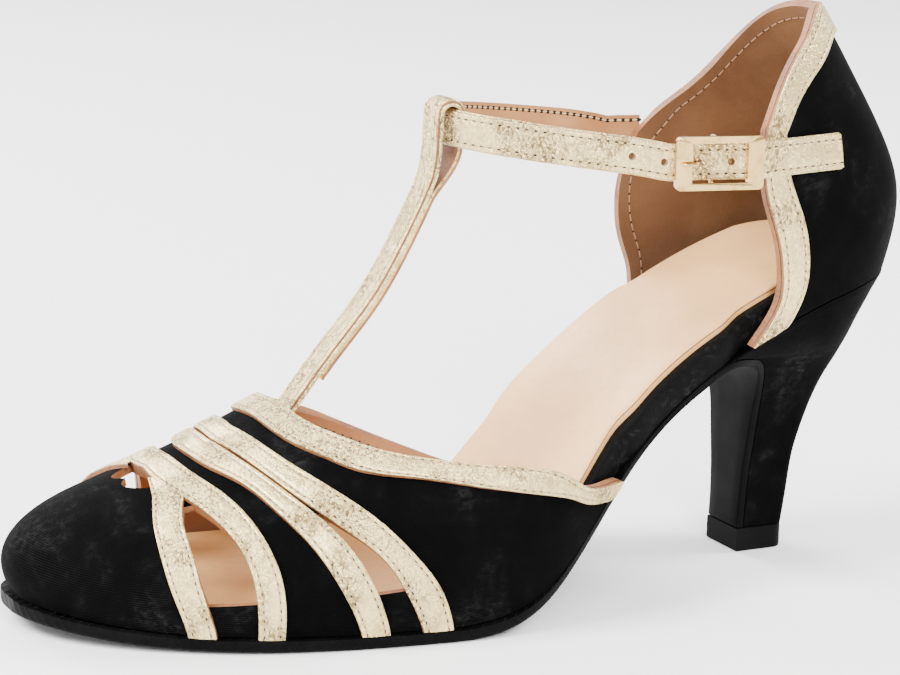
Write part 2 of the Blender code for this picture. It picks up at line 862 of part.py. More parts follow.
def band_edges(key, turn):
    """Front and rear edge of a band."""
    front = edge(key, turn, 0)
    rear = edge(key, turn, 1)
    if key == "4":
        front = min(front, edge("3", turn, 1) - 1.3 * GAP)
    return front, rear


def window(name, front_line, rear_line, start, end, count):
    """Cutter between two lines over the vamp."""
    top = []
    under = []
    for turn in steps(count, start, end):
        front = front_line(turn)
        rear = rear_line(turn)
        high_row = []
        low_row = []
        for share in steps(4):
            u = rear + (front - rear) * share
            high_row.append(vamp_lifted(u, turn, 0.0025))
            low_row.append(vamp_lifted(u, turn, -0.0045))
        top.append(high_row)
        under.append(low_row)
    return slab(name, top, under, None, CUTTERS)


def side_window(name, ahead, behind, limits, mirror):
    """Window between the rear edge of one band and the front edge of the next."""
    def front_line(turn):
        """Front edge of the opening."""
        return band_edges(ahead, turn)[1] - RIM_SHOW

    def rear_line(turn):
        """Rear edge of the opening."""
        return band_edges(behind, turn)[0] + RIM_SHOW
    start, end = limits
    if mirror:
        start, end = 180 - end, 180 - start
    cut(VAMP, window(name, front_line, rear_line, start, end, 9))


side_window("window_a_outer", "1", "2", WINDOW_A, False)
side_window("window_a_inner", "1", "2", WINDOW_A, True)
side_window("window_c_outer", "3", "4", WINDOW_C, False)
side_window("window_c_inner", "3", "4", WINDOW_C, True)


def cap_edge(turn):
    """Rear edge of the toe cap over the ridge."""
    off = abs(turn - 90) / TOP_WINDOW
    return LENGTH * (TOP_WINDOW_REACH + (TOP_WINDOW_END - TOP_WINDOW_REACH) * off ** 2.4)


def top_window_rear(turn):
    """Rear edge of the top window."""
    return min(band_edges("2", turn)[0] + RIM_SHOW, cap_edge(turn) - 0.0006)


cut(VAMP, window("window_top", cap_edge, top_window_rear, 90 - TOP_WINDOW, 90 + TOP_WINDOW, 9))


def band(name, key, start, end, count):
    """Gold band over the vamp."""
    grid = []
    for turn in steps(count, start, end):
        front, rear = band_edges(key, turn)
        grid.append([vamp_lifted(rear + (front - rear) * s, turn, GAP) for s in steps(3)])
    return shell(name, grid, "leather_gold", BAND, True, (0.0, LENGTH * 0.75, 0.005))


band("strap_2", "2", 0.0, 180.0, 29)
band("strap_3", "3", 0.0, 180.0, 29)
band("strap_4", "4", 0.0, 180.0, 29)


def short_band(name, side):
    """Side band that ends against the next band."""
    grid = []
    for across in steps(3):
        def line(turn):
            """This line of the band at a turn."""
            front = LENGTH * EDGES["1"][0](turn)
            rear = LENGTH * EDGES["1"][1](turn)
            return rear + (front - rear) * across
        low = 40.0
        high = 80.0
        for _ in range(30):
            middle = (low + high) / 2
            if line(middle) > LENGTH * EDGES["2"][0](middle) + 2 * GAP:
                low = middle
            else:
                high = middle
        row = []
        for turn in steps(12, 0.0, low):
            place = turn if side > 0 else 180 - turn
            row.append(vamp_lifted(line(turn), place, GAP))
        grid.append(row)
    return shell(name, grid, "leather_gold", BAND, True, (0.0, LENGTH * 0.75, 0.005))


short_band("strap_1_lateral", 1.0)
short_band("strap_1_medial", -1.0)


def throat_width(turn):
    """Width of the throat band in the foot's direction, wider where its edge runs along the foot."""
    fold = min(turn, 180 - turn)
    run = throat(fold + 1.0) - throat(max(fold - 1.0, 0.0))
    rise = 0.45 * LENGTH / 90.0
    slant = np.hypot(run, rise) / rise
    width = min(0.0272 * LENGTH * slant ** 0.55, 0.05 * LENGTH)
    ease = min(max((turn - 12.0) / 15.0, 0.0), 1.0)
    return width * (THROAT_END + (1 - THROAT_END) * ease * ease * (3 - 2 * ease))


def throat_band():
    """Gold band along the throat edge."""
    grid = []
    for turn in turns(37):
        start = throat(turn) + 0.0002
        width = throat_width(turn)
        grid.append([vamp_lifted(start + width * s, turn, GAP) for s in steps(3)])
    return shell("throat_band", grid, "leather_gold", BAND, True, (0.0, LENGTH * 0.75, 0.005))


throat_band()


# Back upper
def corner_height(side):
    """Height of the counter's front corner."""
    return COUNTER_HEIGHT * counter_top(side)


def front_reach(side, h):
    """Place of the counter's front edge at a height."""
    share = min(h / corner_height(side), 1.0)
    return LENGTH * (front_outer(share) if side > 0 else front_inner(share))


def counter_spot(signed, rise):
    """Place and height on the counter for a signed share along and a share up."""
    side = 1.0 if signed >= 0 else -1.0
    h = rise * COUNTER_HEIGHT * counter_top(signed)
    return abs(signed) * front_reach(side, h), side, h


def counter():
    """Back upper: a wall round the heel, open at the top and the front."""
    grid = []
    for t in steps(27, -1.0, 1.0):
        signed = np.sign(t) * abs(t) ** 1.7
        row = []
        for rise in steps(9):
            u, side, h = counter_spot(signed, rise)
            row.append(counter_point(u, side, h))
        grid.append(row)
    return shell("counter", grid, "velvet_black", WALL, False, (0.0, 0.15 * LENGTH, SEAT_HEIGHT + 0.03))


counter()


def trim_edge(t):
    """Counter edge from the outer foot up, round the back and down to the inner foot."""
    if t < 0.3:
        return counter_spot(1.0, t / 0.3)
    if t > 0.7:
        return counter_spot(-1.0, (1 - t) / 0.3)
    along = (0.5 - t) / 0.2
    return counter_spot(np.sign(along) * abs(along) ** 1.6, 1.0)


def trim_spot(t, inward):
    """Spot on the trim, moved in from the edge square to it."""
    u, side, h = trim_edge(t)
    spread = 0.012
    a = trim_edge(max(t - spread, 0.0))
    b = trim_edge(min(t + spread, 1.0))
    run = a[0] * a[1] - b[0] * b[1]
    rise = a[2] - b[2]
    if abs(t - 0.5) < 0.06:
        run, rise = 1.0, 0.0
    size = np.hypot(run, rise)
    signed = u * side + inward * (rise / size) * (1.0 if size else 0.0)
    h = h - inward * (run / size)
    if u < 0.02 * LENGTH:
        signed = u * side
    return abs(signed), (1.0 if signed >= 0 else -1.0), max(h, 0.0)


def counter_trim():
    """Gold band along the counter's front and top edges."""
    grid = []
    for t in steps(47):
        row = []
        for across in steps(3):
            u, side, h = trim_spot(t, 0.0001 + TRIM_WIDTH * across)
            row.append(counter_lifted(u, side, h, GAP))
        grid.append(row)
    return shell("counter_trim", grid, "leather_gold", BAND, True, (0.0, 0.15 * LENGTH, SEAT_HEIGHT + 0.03))


counter_trim()


# Straps
def ribbon(name, centres, ups, width, thick, colour):
    """Strap of rectangular section along a path, its width along ups."""
    rings = []
    count = len(centres)
    for i, middle in enumerate(centres):
        ahead = centres[min(i + 1, count - 1)] - centres[max(i - 1, 0)]
        ahead = ahead / np.linalg.norm(ahead)
        up = ups[i] - ahead * np.dot(ups[i], ahead)
        up = up / np.linalg.norm(up)
        out = np.cross(ahead, up)
        side = up * width / 2
        deep = out * thick / 2
        rings.append([middle - side - deep, middle + side - deep, middle + side + deep, middle - side + deep])
    return tube(name, rings, colour)


def over_seat(share):
    """Height of a share of the counter over the seat."""
    return SEAT_HEIGHT + COUNTER_HEIGHT * share


def t_strap():
    """Strap from the throat up, folded over and down again round the ankle strap."""
    base_u = throat(78.0) - 0.0014
    base_w = vamp_point(throat(90.0), 90.0)[2] - 0.55 * T_THICK
    top_u = LENGTH * LOOP_REACH
    top_w = over_seat(LOOP_RISE) + 0.0012
    path = tuple((i / (len(T_PATH) - 1), base_u + (top_u - base_u) * a, base_w + (top_w - base_w) * b)
                 for i, (a, b) in enumerate(T_PATH))
    along = spline(path, 1)
    up = spline(path, 2)
    side = vamp_point(throat(90.0), 90.0)[0]
    points = []
    for s in steps(20):
        points.append((side * (1 - s), along(s), up(s)))
    radius = (T_THICK + STRAP_THICK) / 2 + LOOP_ROOM
    for angle in steps(7, 0.0, np.pi)[1:]:
        points.append((0.0, top_u - radius * (1 - np.cos(angle)), top_w + 0.0022 + radius * 0.9 * np.sin(angle)))
    points.append((0.0, top_u - 2 * radius, top_w - 0.003))
    points.append((0.0, top_u - 2 * radius + 0.0004, top_w - 0.0075))
    points.append((0.0, top_u - 2 * radius + 0.0016, top_w - 0.0115))
    centres = [np.array(p) for p in points]
    ups = [np.array([1.0, 0.0, 0.0])] * len(centres)
    return ribbon("t_strap", centres, ups, T_WIDTH, T_THICK, "leather_gold")


t_strap()
STACK = GAP + BAND + 2 * GAP + STRAP_THICK / 2


def strap_spot(reach, height, side):
    """Middle of the ankle strap where it lies over the counter, at a height over the floor."""
    u = LENGTH * reach
    return counter_lifted(u, side, height - bottom(u), STACK)


def strap_lean(reach, height, side):
    """Upward direction of the counter's face there."""
    reach_up = ANKLE_WIDTH / 2
    lean = strap_spot(reach, height + reach_up, side) - strap_spot(reach, height - reach_up, side)
    return lean / np.linalg.norm(lean)


BACK = strap_spot(BUCKLE_REACH - STRAIGHT, over_seat(BUCKLE_RISE), 1.0)
FORWARD = np.array([-np.sin(np.radians(BUCKLE_TURN)), np.cos(np.radians(BUCKLE_TURN)), 0.0])
HOLD = BACK + FORWARD * STRAIGHT * LENGTH
UP = np.array([0.0, 0.0, 1.0])
OUT = np.array([FORWARD[1], -FORWARD[0], 0.0])


def ankle_side(hold):
    """Path of one side from the loop to its end on the counter."""
    apex_u = LENGTH * LOOP_REACH - (T_THICK + STRAP_THICK) / 2 - LOOP_ROOM
    apex = np.array([0.0, apex_u, over_seat(LOOP_RISE)])
    shares = [spline(tuple((i / 6.0,) + row for i, row in enumerate(ANKLE_PLAN)), k) for k in (1, 2, 3)]
    points = []
    for s in steps(18):
        points.append(np.array([
            hold[0] * shares[1](s),
            hold[1] + (apex[1] - hold[1]) * shares[0](s),
            hold[2] + (apex[2] - hold[2]) * shares[2](s),
        ]))
    return points


def ankle_strap():
    """Strap through the loop: the tip lies over the outer side of the counter."""
    reach = STRAIGHT * LENGTH
    straight = [HOLD + FORWARD * t for t in steps(5, -reach, reach)]
    outer = ankle_side(straight[-1])
    tail = []
    tail_ups = []
    back = BUCKLE_REACH - STRAIGHT
    for s in steps(8)[1:]:
        level = over_seat(BUCKLE_RISE + (TIP_RISE - BUCKLE_RISE) * s)
        place = back + (TIP_REACH - back) * s
        tail.append(strap_spot(place, level, 1.0))
        tail_ups.append(strap_lean(place, level, 1.0))
    inner_hold = strap_spot(INNER_START, over_seat(INNER_RISE), -1.0)
    inner = ankle_side(inner_hold)
    inner_tail = []
    inner_ups = []
    for s in steps(4)[1:]:
        place = INNER_START + (INNER_REACH - INNER_START) * s
        inner_tail.append(strap_spot(place, over_seat(INNER_RISE), -1.0))
        inner_ups.append(strap_lean(place, over_seat(INNER_RISE), -1.0))
    path = list(reversed(tail)) + straight + outer[1:] + list(reversed(inner))[1:] + inner_tail
    plain = len(path) - len(tail) - len(inner_tail)
    ups = list(reversed(tail_ups)) + [UP] * plain + inner_ups
    item = ribbon("ankle_strap", path, ups, ANKLE_WIDTH, STRAP_THICK, "leather_gold")
    return item, straight[2:] + outer[1:]


STRAP, OUTER_PATH = ankle_strap()


def local(t, n, z):
    """Point by the buckle: along the strap, out from it and up."""
    return HOLD + FORWARD * t + OUT * n + UP * z


def block(name, size, middle, colour, collection=None):
    """Box in the buckle's own directions."""
    t0, n0, z0 = (s / 2 for s in size)
    rings = []
    for t in (-t0, t0):
        rings.append([local(middle[0] + t, middle[1] + a * n0, middle[2] + b * z0)
                      for a, b in ((-1, -1), (1, -1), (1, 1), (-1, 1))])
    return tube(name, rings, colour, collection)


def rod(name, start, end, radius, colour, collection=None, sides=10):
    """Round bar between two points in shoe coordinates."""
    axis = (end - start) / np.linalg.norm(end - start)
    other = np.array([0.0, 0.0, 1.0]) if abs(axis[2]) < 0.9 else np.array([0.0, 1.0, 0.0])
    first = np.cross(axis, other)
    first = first / np.linalg.norm(first)
    second = np.cross(axis, first)
    rings = []
    for middle in (start, end):
        rings.append([middle + (first * np.cos(a) + second * np.sin(a)) * radius
                      for a in [2 * np.pi * i / sides for i in range(sides)]])
    return tube(name, rings, colour, collection)


# Punched holes
def strap_station(distance):
    """Point on the outer half of the strap at a distance ahead of the buckle's middle."""
    gone = 0.0
    for first, second in zip(OUTER_PATH, OUTER_PATH[1:]):
        size = np.linalg.norm(second - first)
        if gone + size >= distance:
            return first + (second - first) * (distance - gone) / size
        gone += size
    return OUTER_PATH[-1]


PRONG_AT = 0.0052
for number, distance in enumerate((PRONG_AT - HOLE_PITCH, PRONG_AT, PRONG_AT + HOLE_PITCH,
                                   PRONG_AT + 2 * HOLE_PITCH)):
    spot = strap_station(distance) if distance > 0 else local(distance, 0.0, 0.0)
    radius = HOLE_RADIUS * 1.15 if number == 1 else HOLE_RADIUS
    cut(STRAP, rod("hole_%d" % number, spot - OUT * 0.003, spot + OUT * 0.003, radius, None, CUTTERS, 8))

PLATE = STRAP_THICK / 2 + 0.0007 + FRAME_THICK / 2
BAR_OUT = -(STRAP_THICK / 2 + GAP + TAB_THICK + GAP + BAR_RADIUS + 0.0008)


def buckle_frame():
    """Flat frame with a hidden middle bar behind the strap."""
    frame = block("buckle_frame", (FRAME_LENGTH, FRAME_THICK, FRAME_HEIGHT), (0.0, PLATE, 0.0), "metal_gold")
    bevel = frame.modifiers.new("edge", "BEVEL")
    bevel.width = 0.0004
    bevel.segments = 1
    bevel.limit_method = "ANGLE"
    cut(frame, block("frame_window", (WINDOW_LENGTH, 0.006, WINDOW_HEIGHT), (0.0, PLATE, 0.0), None, CUTTERS))
    side = (WINDOW_HEIGHT + FRAME_HEIGHT) / 4
    for number, sign in enumerate((-1, 1)):
        depth = PLATE - BAR_OUT
        leg = block("leg_%d" % number, (2 * BAR_RADIUS, depth + BAR_RADIUS, 0.001),
                    (0.0, (PLATE + BAR_OUT - BAR_RADIUS) / 2, sign * side), None, CUTTERS)
        cut(frame, leg, "UNION")
    bar = rod("middle_bar", local(0.0, BAR_OUT, -side), local(0.0, BAR_OUT, side), BAR_RADIUS, None, CUTTERS)
    cut(frame, bar, "UNION")
    return frame


buckle_frame()


def wire(name, points, radius, colour, sides=8):
    """Round wire through points in shoe coordinates."""
    rings = []
    count = len(points)
    for i, middle in enumerate(points):
        ahead = points[min(i + 1, count - 1)] - points[max(i - 1, 0)]
        ahead = ahead / np.linalg.norm(ahead)
        first = UP
        second = np.cross(ahead, first)
        second = second / np.linalg.norm(second)
        first = np.cross(second, ahead)
        rings.append([middle + (first * np.cos(a) + second * np.sin(a)) * radius
                      for a in [2 * np.pi * k / sides for k in range(sides)]])
    return tube(name, rings, colour)


def buckle_prong():
    """Prong hooked round the middle bar, through a hole and over the front bar."""
    ring = BAR_RADIUS + GAP + PRONG_RADIUS
    points = []
    for angle in steps(9, np.radians(-30), np.radians(-270)):
        points.append(local(ring * np.cos(angle), BAR_OUT + ring * np.sin(angle), 0.0))
    flat = BAR_OUT + ring
    over = PLATE + FRAME_THICK / 2 + GAP + PRONG_RADIUS
    for t, n in ((0.0022, flat), (0.0040, flat + 0.0001), (0.0050, flat + 0.0007), (PRONG_AT, 0.0),
                 (PRONG_AT + 0.0001, over - 0.0012), (PRONG_AT + 0.0007, over - 0.0002),
                 (PRONG_AT + 0.0016, over), (0.0096, over)):
        points.append(local(t, n, 0.0))
    return wire("buckle_prong", points, PRONG_RADIUS, "metal_gold")


buckle_prong()


def buckle_tab():
    """Short strap from the counter's edge round the middle bar, slotted for the prong."""
    inner = BAR_RADIUS + GAP + TAB_THICK / 2
    edge_u = 0.0
    for share in steps(5, -0.6, 0.6):
        h = over_seat(BUCKLE_RISE) + share * TAB_WIDTH - bottom(LENGTH * front_outer(0.8))
        edge_u = max(edge_u, counter_point(front_reach(1.0, h), 1.0, h)[1])
    start = edge_u + 3 * GAP - LENGTH * BUCKLE_REACH
    points = []
    for t in steps(5, start, -0.001):
        points.append(local(t, BAR_OUT + inner, 0.0))
    for angle in steps(9, np.radians(90), np.radians(-90)):
        points.append(local(inner * np.cos(angle), BAR_OUT + inner * np.sin(angle), 0.0))
    points.append(local(-0.0015, BAR_OUT - inner, 0.0))
    points.append(local(-0.005, BAR_OUT - inner * 0.75, 0.0))
    ups = [UP] * len(points)
    tab = ribbon("buckle_tab", points, ups, TAB_WIDTH, TAB_THICK, "leather_gold")
    slot = 2 * (PRONG_RADIUS + GAP)
    cut(tab, block("tab_slot", (0.008, 0.012, slot), (0.0025, BAR_OUT, 0.0), None, CUTTERS))
    return tab


buckle_tab()
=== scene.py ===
"""Dressed scene of a T-strap court shoe for the left foot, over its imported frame.

World: +X to the outer side of the foot, -Y to the toe, +Z up, in metres.
Shoe coordinates in the functions: v to the outer side, u from the heel end to the toe, w up.
"""
import logging
from dataclasses import dataclass, field
from enum import Enum
from typing import Callable, Sequence

import bpy
import numpy as np
from mathutils import Matrix, Vector


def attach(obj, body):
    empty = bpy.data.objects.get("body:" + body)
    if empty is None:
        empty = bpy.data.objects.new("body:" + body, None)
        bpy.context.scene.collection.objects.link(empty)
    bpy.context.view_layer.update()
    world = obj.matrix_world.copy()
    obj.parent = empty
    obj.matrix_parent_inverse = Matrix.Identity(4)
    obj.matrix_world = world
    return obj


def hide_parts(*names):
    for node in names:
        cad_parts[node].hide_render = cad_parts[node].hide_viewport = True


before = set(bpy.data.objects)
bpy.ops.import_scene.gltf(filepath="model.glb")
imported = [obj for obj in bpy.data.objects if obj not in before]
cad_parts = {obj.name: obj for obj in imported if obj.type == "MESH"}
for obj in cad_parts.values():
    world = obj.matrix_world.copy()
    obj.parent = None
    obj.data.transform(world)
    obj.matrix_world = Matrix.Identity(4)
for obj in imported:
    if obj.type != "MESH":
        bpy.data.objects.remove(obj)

LOG = logging.getLogger("shoe")
Colour = tuple[float, float, float]
Table = tuple[tuple[float, ...], ...]
Item = bpy.types.Object
Material = bpy.types.Material
Socket = bpy.types.NodeSocket
Array = np.ndarray
Seam = tuple[Array, Array]


class Slot(Enum):
    """Material slots of the record."""
    VELVET = "velvet_black"
    BOARD = "board_black"
    RUBBER = "rubber_black"
    GOLD = "leather_gold"
    TAN = "leather_tan"
    METAL = "metal_gold"


class Side(Enum):
    """Sides of the foot."""
    OUTER = 1.0
    INNER = -1.0


# Materials
class Graph:
    """Node tree of one material or of the world, laid out by short calls."""

    def __init__(self, name: str, world: bool = False) -> None:
        """Start the tree with its shader.

        Args:
            name: Name of the material or world.
            world: Whether it is the world's.
        """
        self.owner = (bpy.data.worlds if world else bpy.data.materials).new(name)
        self.owner.use_nodes = True
        self.tree = self.owner.node_tree
        self.shader = self.tree.nodes["Background" if world else "Principled BSDF"]

    def feed(self, socket: Socket, value: object) -> None:
        """Link a socket or set its value.

        Args:
            socket: Input that receives the value.
            value: Another socket, or a plain value.
        """
        if isinstance(value, Socket):
            self.tree.links.new(value, socket)
        else:
            socket.default_value = value

    def node(self, kind: str, inputs: dict, **settings: object) -> bpy.types.Node:
        """Add a node.

        Args:
            kind: Node type.
            inputs: Values or sockets by input name or number.
            **settings: Properties of the node.

        Returns:
            The node.
        """
        made = self.tree.nodes.new(kind)
        for key, value in settings.items():
            setattr(made, key, value)
        for key, value in inputs.items():
            self.feed(made.inputs[key], value)
        return made

    def place(self) -> Socket:
        """Object coordinates."""
        return self.node("ShaderNodeTexCoord", {}).outputs["Object"]

    def run(self) -> Socket:
        """The piece's own map, in metres along and across."""
        return self.node("ShaderNodeUVMap", {}, uv_map="run").outputs["UV"]

    def scaled(self, vector: Socket, scale: Colour) -> Socket:
        """Coordinates scaled apart by axis."""
        return self.node("ShaderNodeMapping", {"Vector": vector, "Scale": scale}).outputs["Vector"]

    def noise(self, vector: Socket, scale: float, detail: float = 3.0,
              rough: float = 0.55, twist: float = 0.0) -> Socket:
        """Noise value.

        Args:
            vector: Coordinates.
            scale: Features per metre.
            detail: Octaves.
            rough: Weight of the octaves.
            twist: Distortion.

        Returns:
            Factor socket.
        """
        return self.node("ShaderNodeTexNoise", {
            "Vector": vector, "Scale": scale, "Detail": detail, "Roughness": rough, "Distortion": twist,
        }).outputs["Fac"]

    def cells(self, vector: Socket, scale: float, feature: str = "F1") -> Socket:
        """Voronoi distance."""
        return self.node("ShaderNodeTexVoronoi", {"Vector": vector, "Scale": scale},
                         feature=feature).outputs["Distance"]

    def waves(self, vector: Socket, scale: float, axis: str, twist: float) -> Socket:
        """Fine parallel lines."""
        return self.node("ShaderNodeTexWave", {
            "Vector": vector, "Scale": scale, "Distortion": twist, "Detail": 2.0, "Detail Scale": 1.5,
        }, wave_type="BANDS", bands_direction=axis).outputs["Fac"]

    def span(self, value: Socket, low: float, high: float,
             start: float = 0.0, end: float = 1.0) -> Socket:
        """Range of a value stretched to another, smoothly.

        Args:
            value: Source.
            low: Source value that gives start.
            high: Source value that gives end.
            start: Result at low.
            end: Result at high.

        Returns:
            Result socket.
        """
        return self.node("ShaderNodeMapRange", {
            "Value": value, "From Min": low, "From Max": high, "To Min": start, "To Max": end,
        }, interpolation_type="SMOOTHSTEP").outputs["Result"]

    def maths(self, work: str, a: object, b: object) -> Socket:
        """One step of arithmetic."""
        return self.node("ShaderNodeMath", {0: a, 1: b}, operation=work).outputs["Value"]

    def mixed(self, share: object, a: object, b: object) -> Socket:
        """Colour between two.

        Args:
            share: 0 for a, 1 for b.
            a: First colour or socket.
            b: Second colour or socket.

        Returns:
            Colour socket.
        """
        first = (*a, 1.0) if isinstance(a, tuple) else a
        second = (*b, 1.0) if isinstance(b, tuple) else b
        return self.node("ShaderNodeMix", {0: share, 6: first, 7: second}, data_type="RGBA").outputs[2]

    def relief(self, height: Socket, depth: float, strength: float,
               under: Socket | None = None) -> Socket:
        """Bump from a height.

        Args:
            height: Height socket, 0 to 1.
            depth: Height of 1 in metres.
            strength: Share of the effect.
            under: Normal of a coarser relief.

        Returns:
            Normal socket.
        """
        inputs = {"Height": height, "Distance": depth, "Strength": strength}
        if under is not None:
            inputs["Normal"] = under
        return self.node("ShaderNodeBump", inputs).outputs["Normal"]

    def done(self, **inputs: object) -> Material:
        """Feed the shader and hand over what owns the tree.

        Args:
            **inputs: Shader inputs, spaces written as underscores.

        Returns:
            The material or world.
        """
        for key, value in inputs.items():
            value = (*value, 1.0) if isinstance(value, tuple) and len(value) == 3 else value
            self.feed(self.shader.inputs[key.replace("_", " ")], value)
        return self.owner


@dataclass(frozen=True)
class Velvet:
    """Black cotton velvet with a faint rib and brushed grey patches."""
    name: str = "velvet"
    deep: Colour = (0.0012, 0.0012, 0.0013)
    brushed: Colour = (0.019, 0.019, 0.0195)
    pitch: float = 0.00058
    sheen: float = 0.02

    def make(self) -> Material:
        """Build the material."""
        g = Graph(self.name)
        place = g.place()
        broad = g.noise(place, 55.0, 4.0, 0.62, 0.4)
        grain = g.noise(place, 1500.0, 4.0, 0.7)
        crush = g.noise(g.scaled(place, (1.0, 1.0, 1.6)), 420.0, 5.0, 0.72, 0.8)
        patch = g.maths("MULTIPLY", g.span(broad, 0.50, 0.72), g.span(crush, 0.40, 0.70))
        rib = g.waves(g.run(), 0.314 / self.pitch, "Y", 0.7)
        lines = g.maths("MULTIPLY", g.span(rib, 0.55, 1.0), g.span(broad, 0.36, 0.62, 0.03, 0.20))
        share = g.maths("ADD", g.maths("MULTIPLY", patch, 0.75), lines)
        colour = g.mixed(share, self.deep, self.brushed)
        fibre = g.maths("ADD", g.maths("MULTIPLY", grain, 0.6), g.maths("MULTIPLY", rib, 0.25))
        normal = g.relief(fibre, 0.00016, 0.35)
        rough = g.span(grain, 0.2, 0.8, 0.72, 0.92)
        return g.done(Base_Color=colour, Roughness=rough, Normal=normal, Sheen_Weight=self.sheen,
                      Sheen_Roughness=0.35, Sheen_Tint=(0.55, 0.55, 0.58), Specular_IOR_Level=0.015)


@dataclass(frozen=True)
class GoldLeather:
    """Pale gold foil leather with a fine crinkle, painted shade in its hollows and painted highlight on its crests.
    """
    name: str = "gold_leather"
    # pale is painted highlight on the crinkle's crests and deep is painted shade in its hollows
    pale: Colour = (0.93, 0.74, 0.36)
    deep: Colour = (0.15, 0.095, 0.032)
    plain: Colour = (0.80, 0.62, 0.29)
    metal: float = 0.94
    rough: float = 0.22

    def make(self) -> Material:
        """Build the material."""
        g = Graph(self.name)
        place = g.place()
        warp = g.noise(place, 420.0, 3.0, 0.6, 0.6)
        patch = g.span(g.noise(place, 75.0, 2.0, 0.5), 0.42, 0.62)
        cracks = g.cells(place, 1250.0, "DISTANCE_TO_EDGE")
        crease = g.span(cracks, 0.0, 0.16)
        fold = g.noise(g.scaled(place, (1.0, 1.0, 0.7)), 900.0, 6.0, 0.68, 1.4)
        crinkle = g.maths("ADD", g.maths("MULTIPLY", crease, 0.35), fold)
        # Painted shade and highlight: the colour runs from deep in the crinkle's hollows to pale on its crests,
        # following the bump's fold noise
        crease_shade_and_highlight = g.span(fold, 0.40, 0.56)
        colour = g.mixed(crease_shade_and_highlight, self.deep, self.pale)
        colour = g.mixed(g.span(patch, 0.0, 1.0, 0.72, 0.10), colour, self.plain)
        height = g.maths("MULTIPLY", crinkle, g.maths("ADD", g.maths("MULTIPLY", patch, 0.85), 0.15))
        soft = g.relief(warp, 0.00060, 0.55)
        normal = g.relief(height, 0.00060, 1.0, soft)
        rough = g.span(fold, 0.25, 0.75, self.rough + 0.14, self.rough - 0.02)
        return g.done(Base_Color=colour, Metallic=self.metal, Roughness=rough, Normal=normal,
                      Specular_IOR_Level=0.5)


@dataclass(frozen=True)
class Leather:
    """Smooth dyed leather with pores and a soft change of colour."""
    name: str
    light: Colour
    dark: Colour
    rough: float = 0.5
    pores: float = 0.3
    sheen: float = 0.0
    coat: float = 0.0
    scale: float = 1900.0

    def make(self) -> Material:
        """Build the material."""
        g = Graph(self.name)
        place = g.place()
        cloud = g.noise(place, 38.0, 3.0, 0.55, 0.3)
        fine = g.noise(place, 700.0, 4.0, 0.6)
        colour = g.mixed(g.span(cloud, 0.35, 0.68), self.light, self.dark)
        colour = g.mixed(g.maths("MULTIPLY", g.span(fine, 0.35, 0.75), 0.16), colour, self.dark)
        pore = g.cells(place, self.scale)
        normal = g.relief(pore, 0.00010, self.pores, g.relief(fine, 0.00016, 0.18))
        rough = g.span(fine, 0.3, 0.7, self.rough - 0.05, self.rough + 0.07)
        return g.done(Base_Color=colour, Roughness=rough, Normal=normal, Sheen_Weight=self.sheen,
                      Sheen_Roughness=0.4, Coat_Weight=self.coat, Coat_Roughness=0.35, Specular_IOR_Level=0.25)


@dataclass(frozen=True)
class RawEdge:
    """Cut leather edge, orange brown, fibrous."""
    name: str = "raw_edge"
    light: Colour = (0.36, 0.145, 0.05)
    dark: Colour = (0.11, 0.038, 0.013)

    def make(self) -> Material:
        """Build the material."""
        g = Graph(self.name)
        place = g.place()
        fibre = g.noise(place, 1700.0, 4.0, 0.7)
        cloud = g.noise(place, 160.0, 2.0, 0.5)
        share = g.maths("ADD", g.maths("MULTIPLY", g.span(fibre, 0.3, 0.7), 0.6),
                        g.maths("MULTIPLY", g.span(cloud, 0.35, 0.65), 0.4))
        return g.done(Base_Color=g.mixed(share, self.dark, self.light), Roughness=0.62,
                      Normal=g.relief(fibre, 0.00014, 0.5))


@dataclass(frozen=True)
class Rubber:
    """Black moulded rubber, satin, with a fine texture."""
    name: str
    colour: Colour = (0.0020, 0.0020, 0.0021)
    worn: Colour = (0.0040, 0.0040, 0.0042)
    rough: float = 0.36
    pitch: float = 0.0

    def make(self) -> Material:
        """Build the material."""
        g = Graph(self.name)
        place = g.place()
        cloud = g.noise(place, 90.0, 4.0, 0.6)
        fine = g.noise(place, 2600.0, 3.0, 0.6)
        normal = g.relief(fine, 0.00006, 0.35)
        if self.pitch:
            tread = g.waves(place, 0.314 / self.pitch, "DIAGONAL", 0.0)
            normal = g.relief(g.span(tread, 0.55, 0.8), 0.0003, 0.6, normal)
        return g.done(Base_Color=g.mixed(g.span(cloud, 0.42, 0.75), self.colour, self.worn),
                      Roughness=g.span(cloud, 0.3, 0.7, self.rough - 0.05, self.rough + 0.08),
                      Normal=normal, Specular_IOR_Level=0.03)


@dataclass(frozen=True)
class Satin:
    """Black cloth wrapped round the board, with lighter patches on its folds that are painted highlight."""
    name: str = "board_wrap"
    deep: Colour = (0.0012, 0.0012, 0.0013)
    # Lighter colour of the painted highlight
    painted_highlight: Colour = (0.022, 0.0215, 0.021)

    def make(self) -> Material:
        """Build the material."""
        g = Graph(self.name)
        run = g.run()
        place = g.place()
        fold = g.noise(g.scaled(place, (1.0, 0.45, 0.8)), 520.0, 5.0, 0.7, 1.2)
        cloud = g.noise(place, 70.0, 3.0, 0.6)
        rib = g.waves(run, 0.314 / 0.00055, "X", 0.8)
        # Painted highlight: a lighter colour is mixed in on the crests of the fold noise, in cloudy patches
        share = g.maths("MULTIPLY", g.span(fold, 0.5, 0.78), g.span(cloud, 0.38, 0.62, 0.15, 0.9))
        share = g.maths("ADD", share, g.maths("MULTIPLY", rib, 0.06))
        return g.done(Base_Color=g.mixed(share, self.deep, self.painted_highlight), Roughness=0.52,
                      Normal=g.relief(fold, 0.00022, 0.5, g.relief(rib, 0.00010, 0.3)),
                      Sheen_Weight=0.02, Sheen_Roughness=0.35, Specular_IOR_Level=0.04)


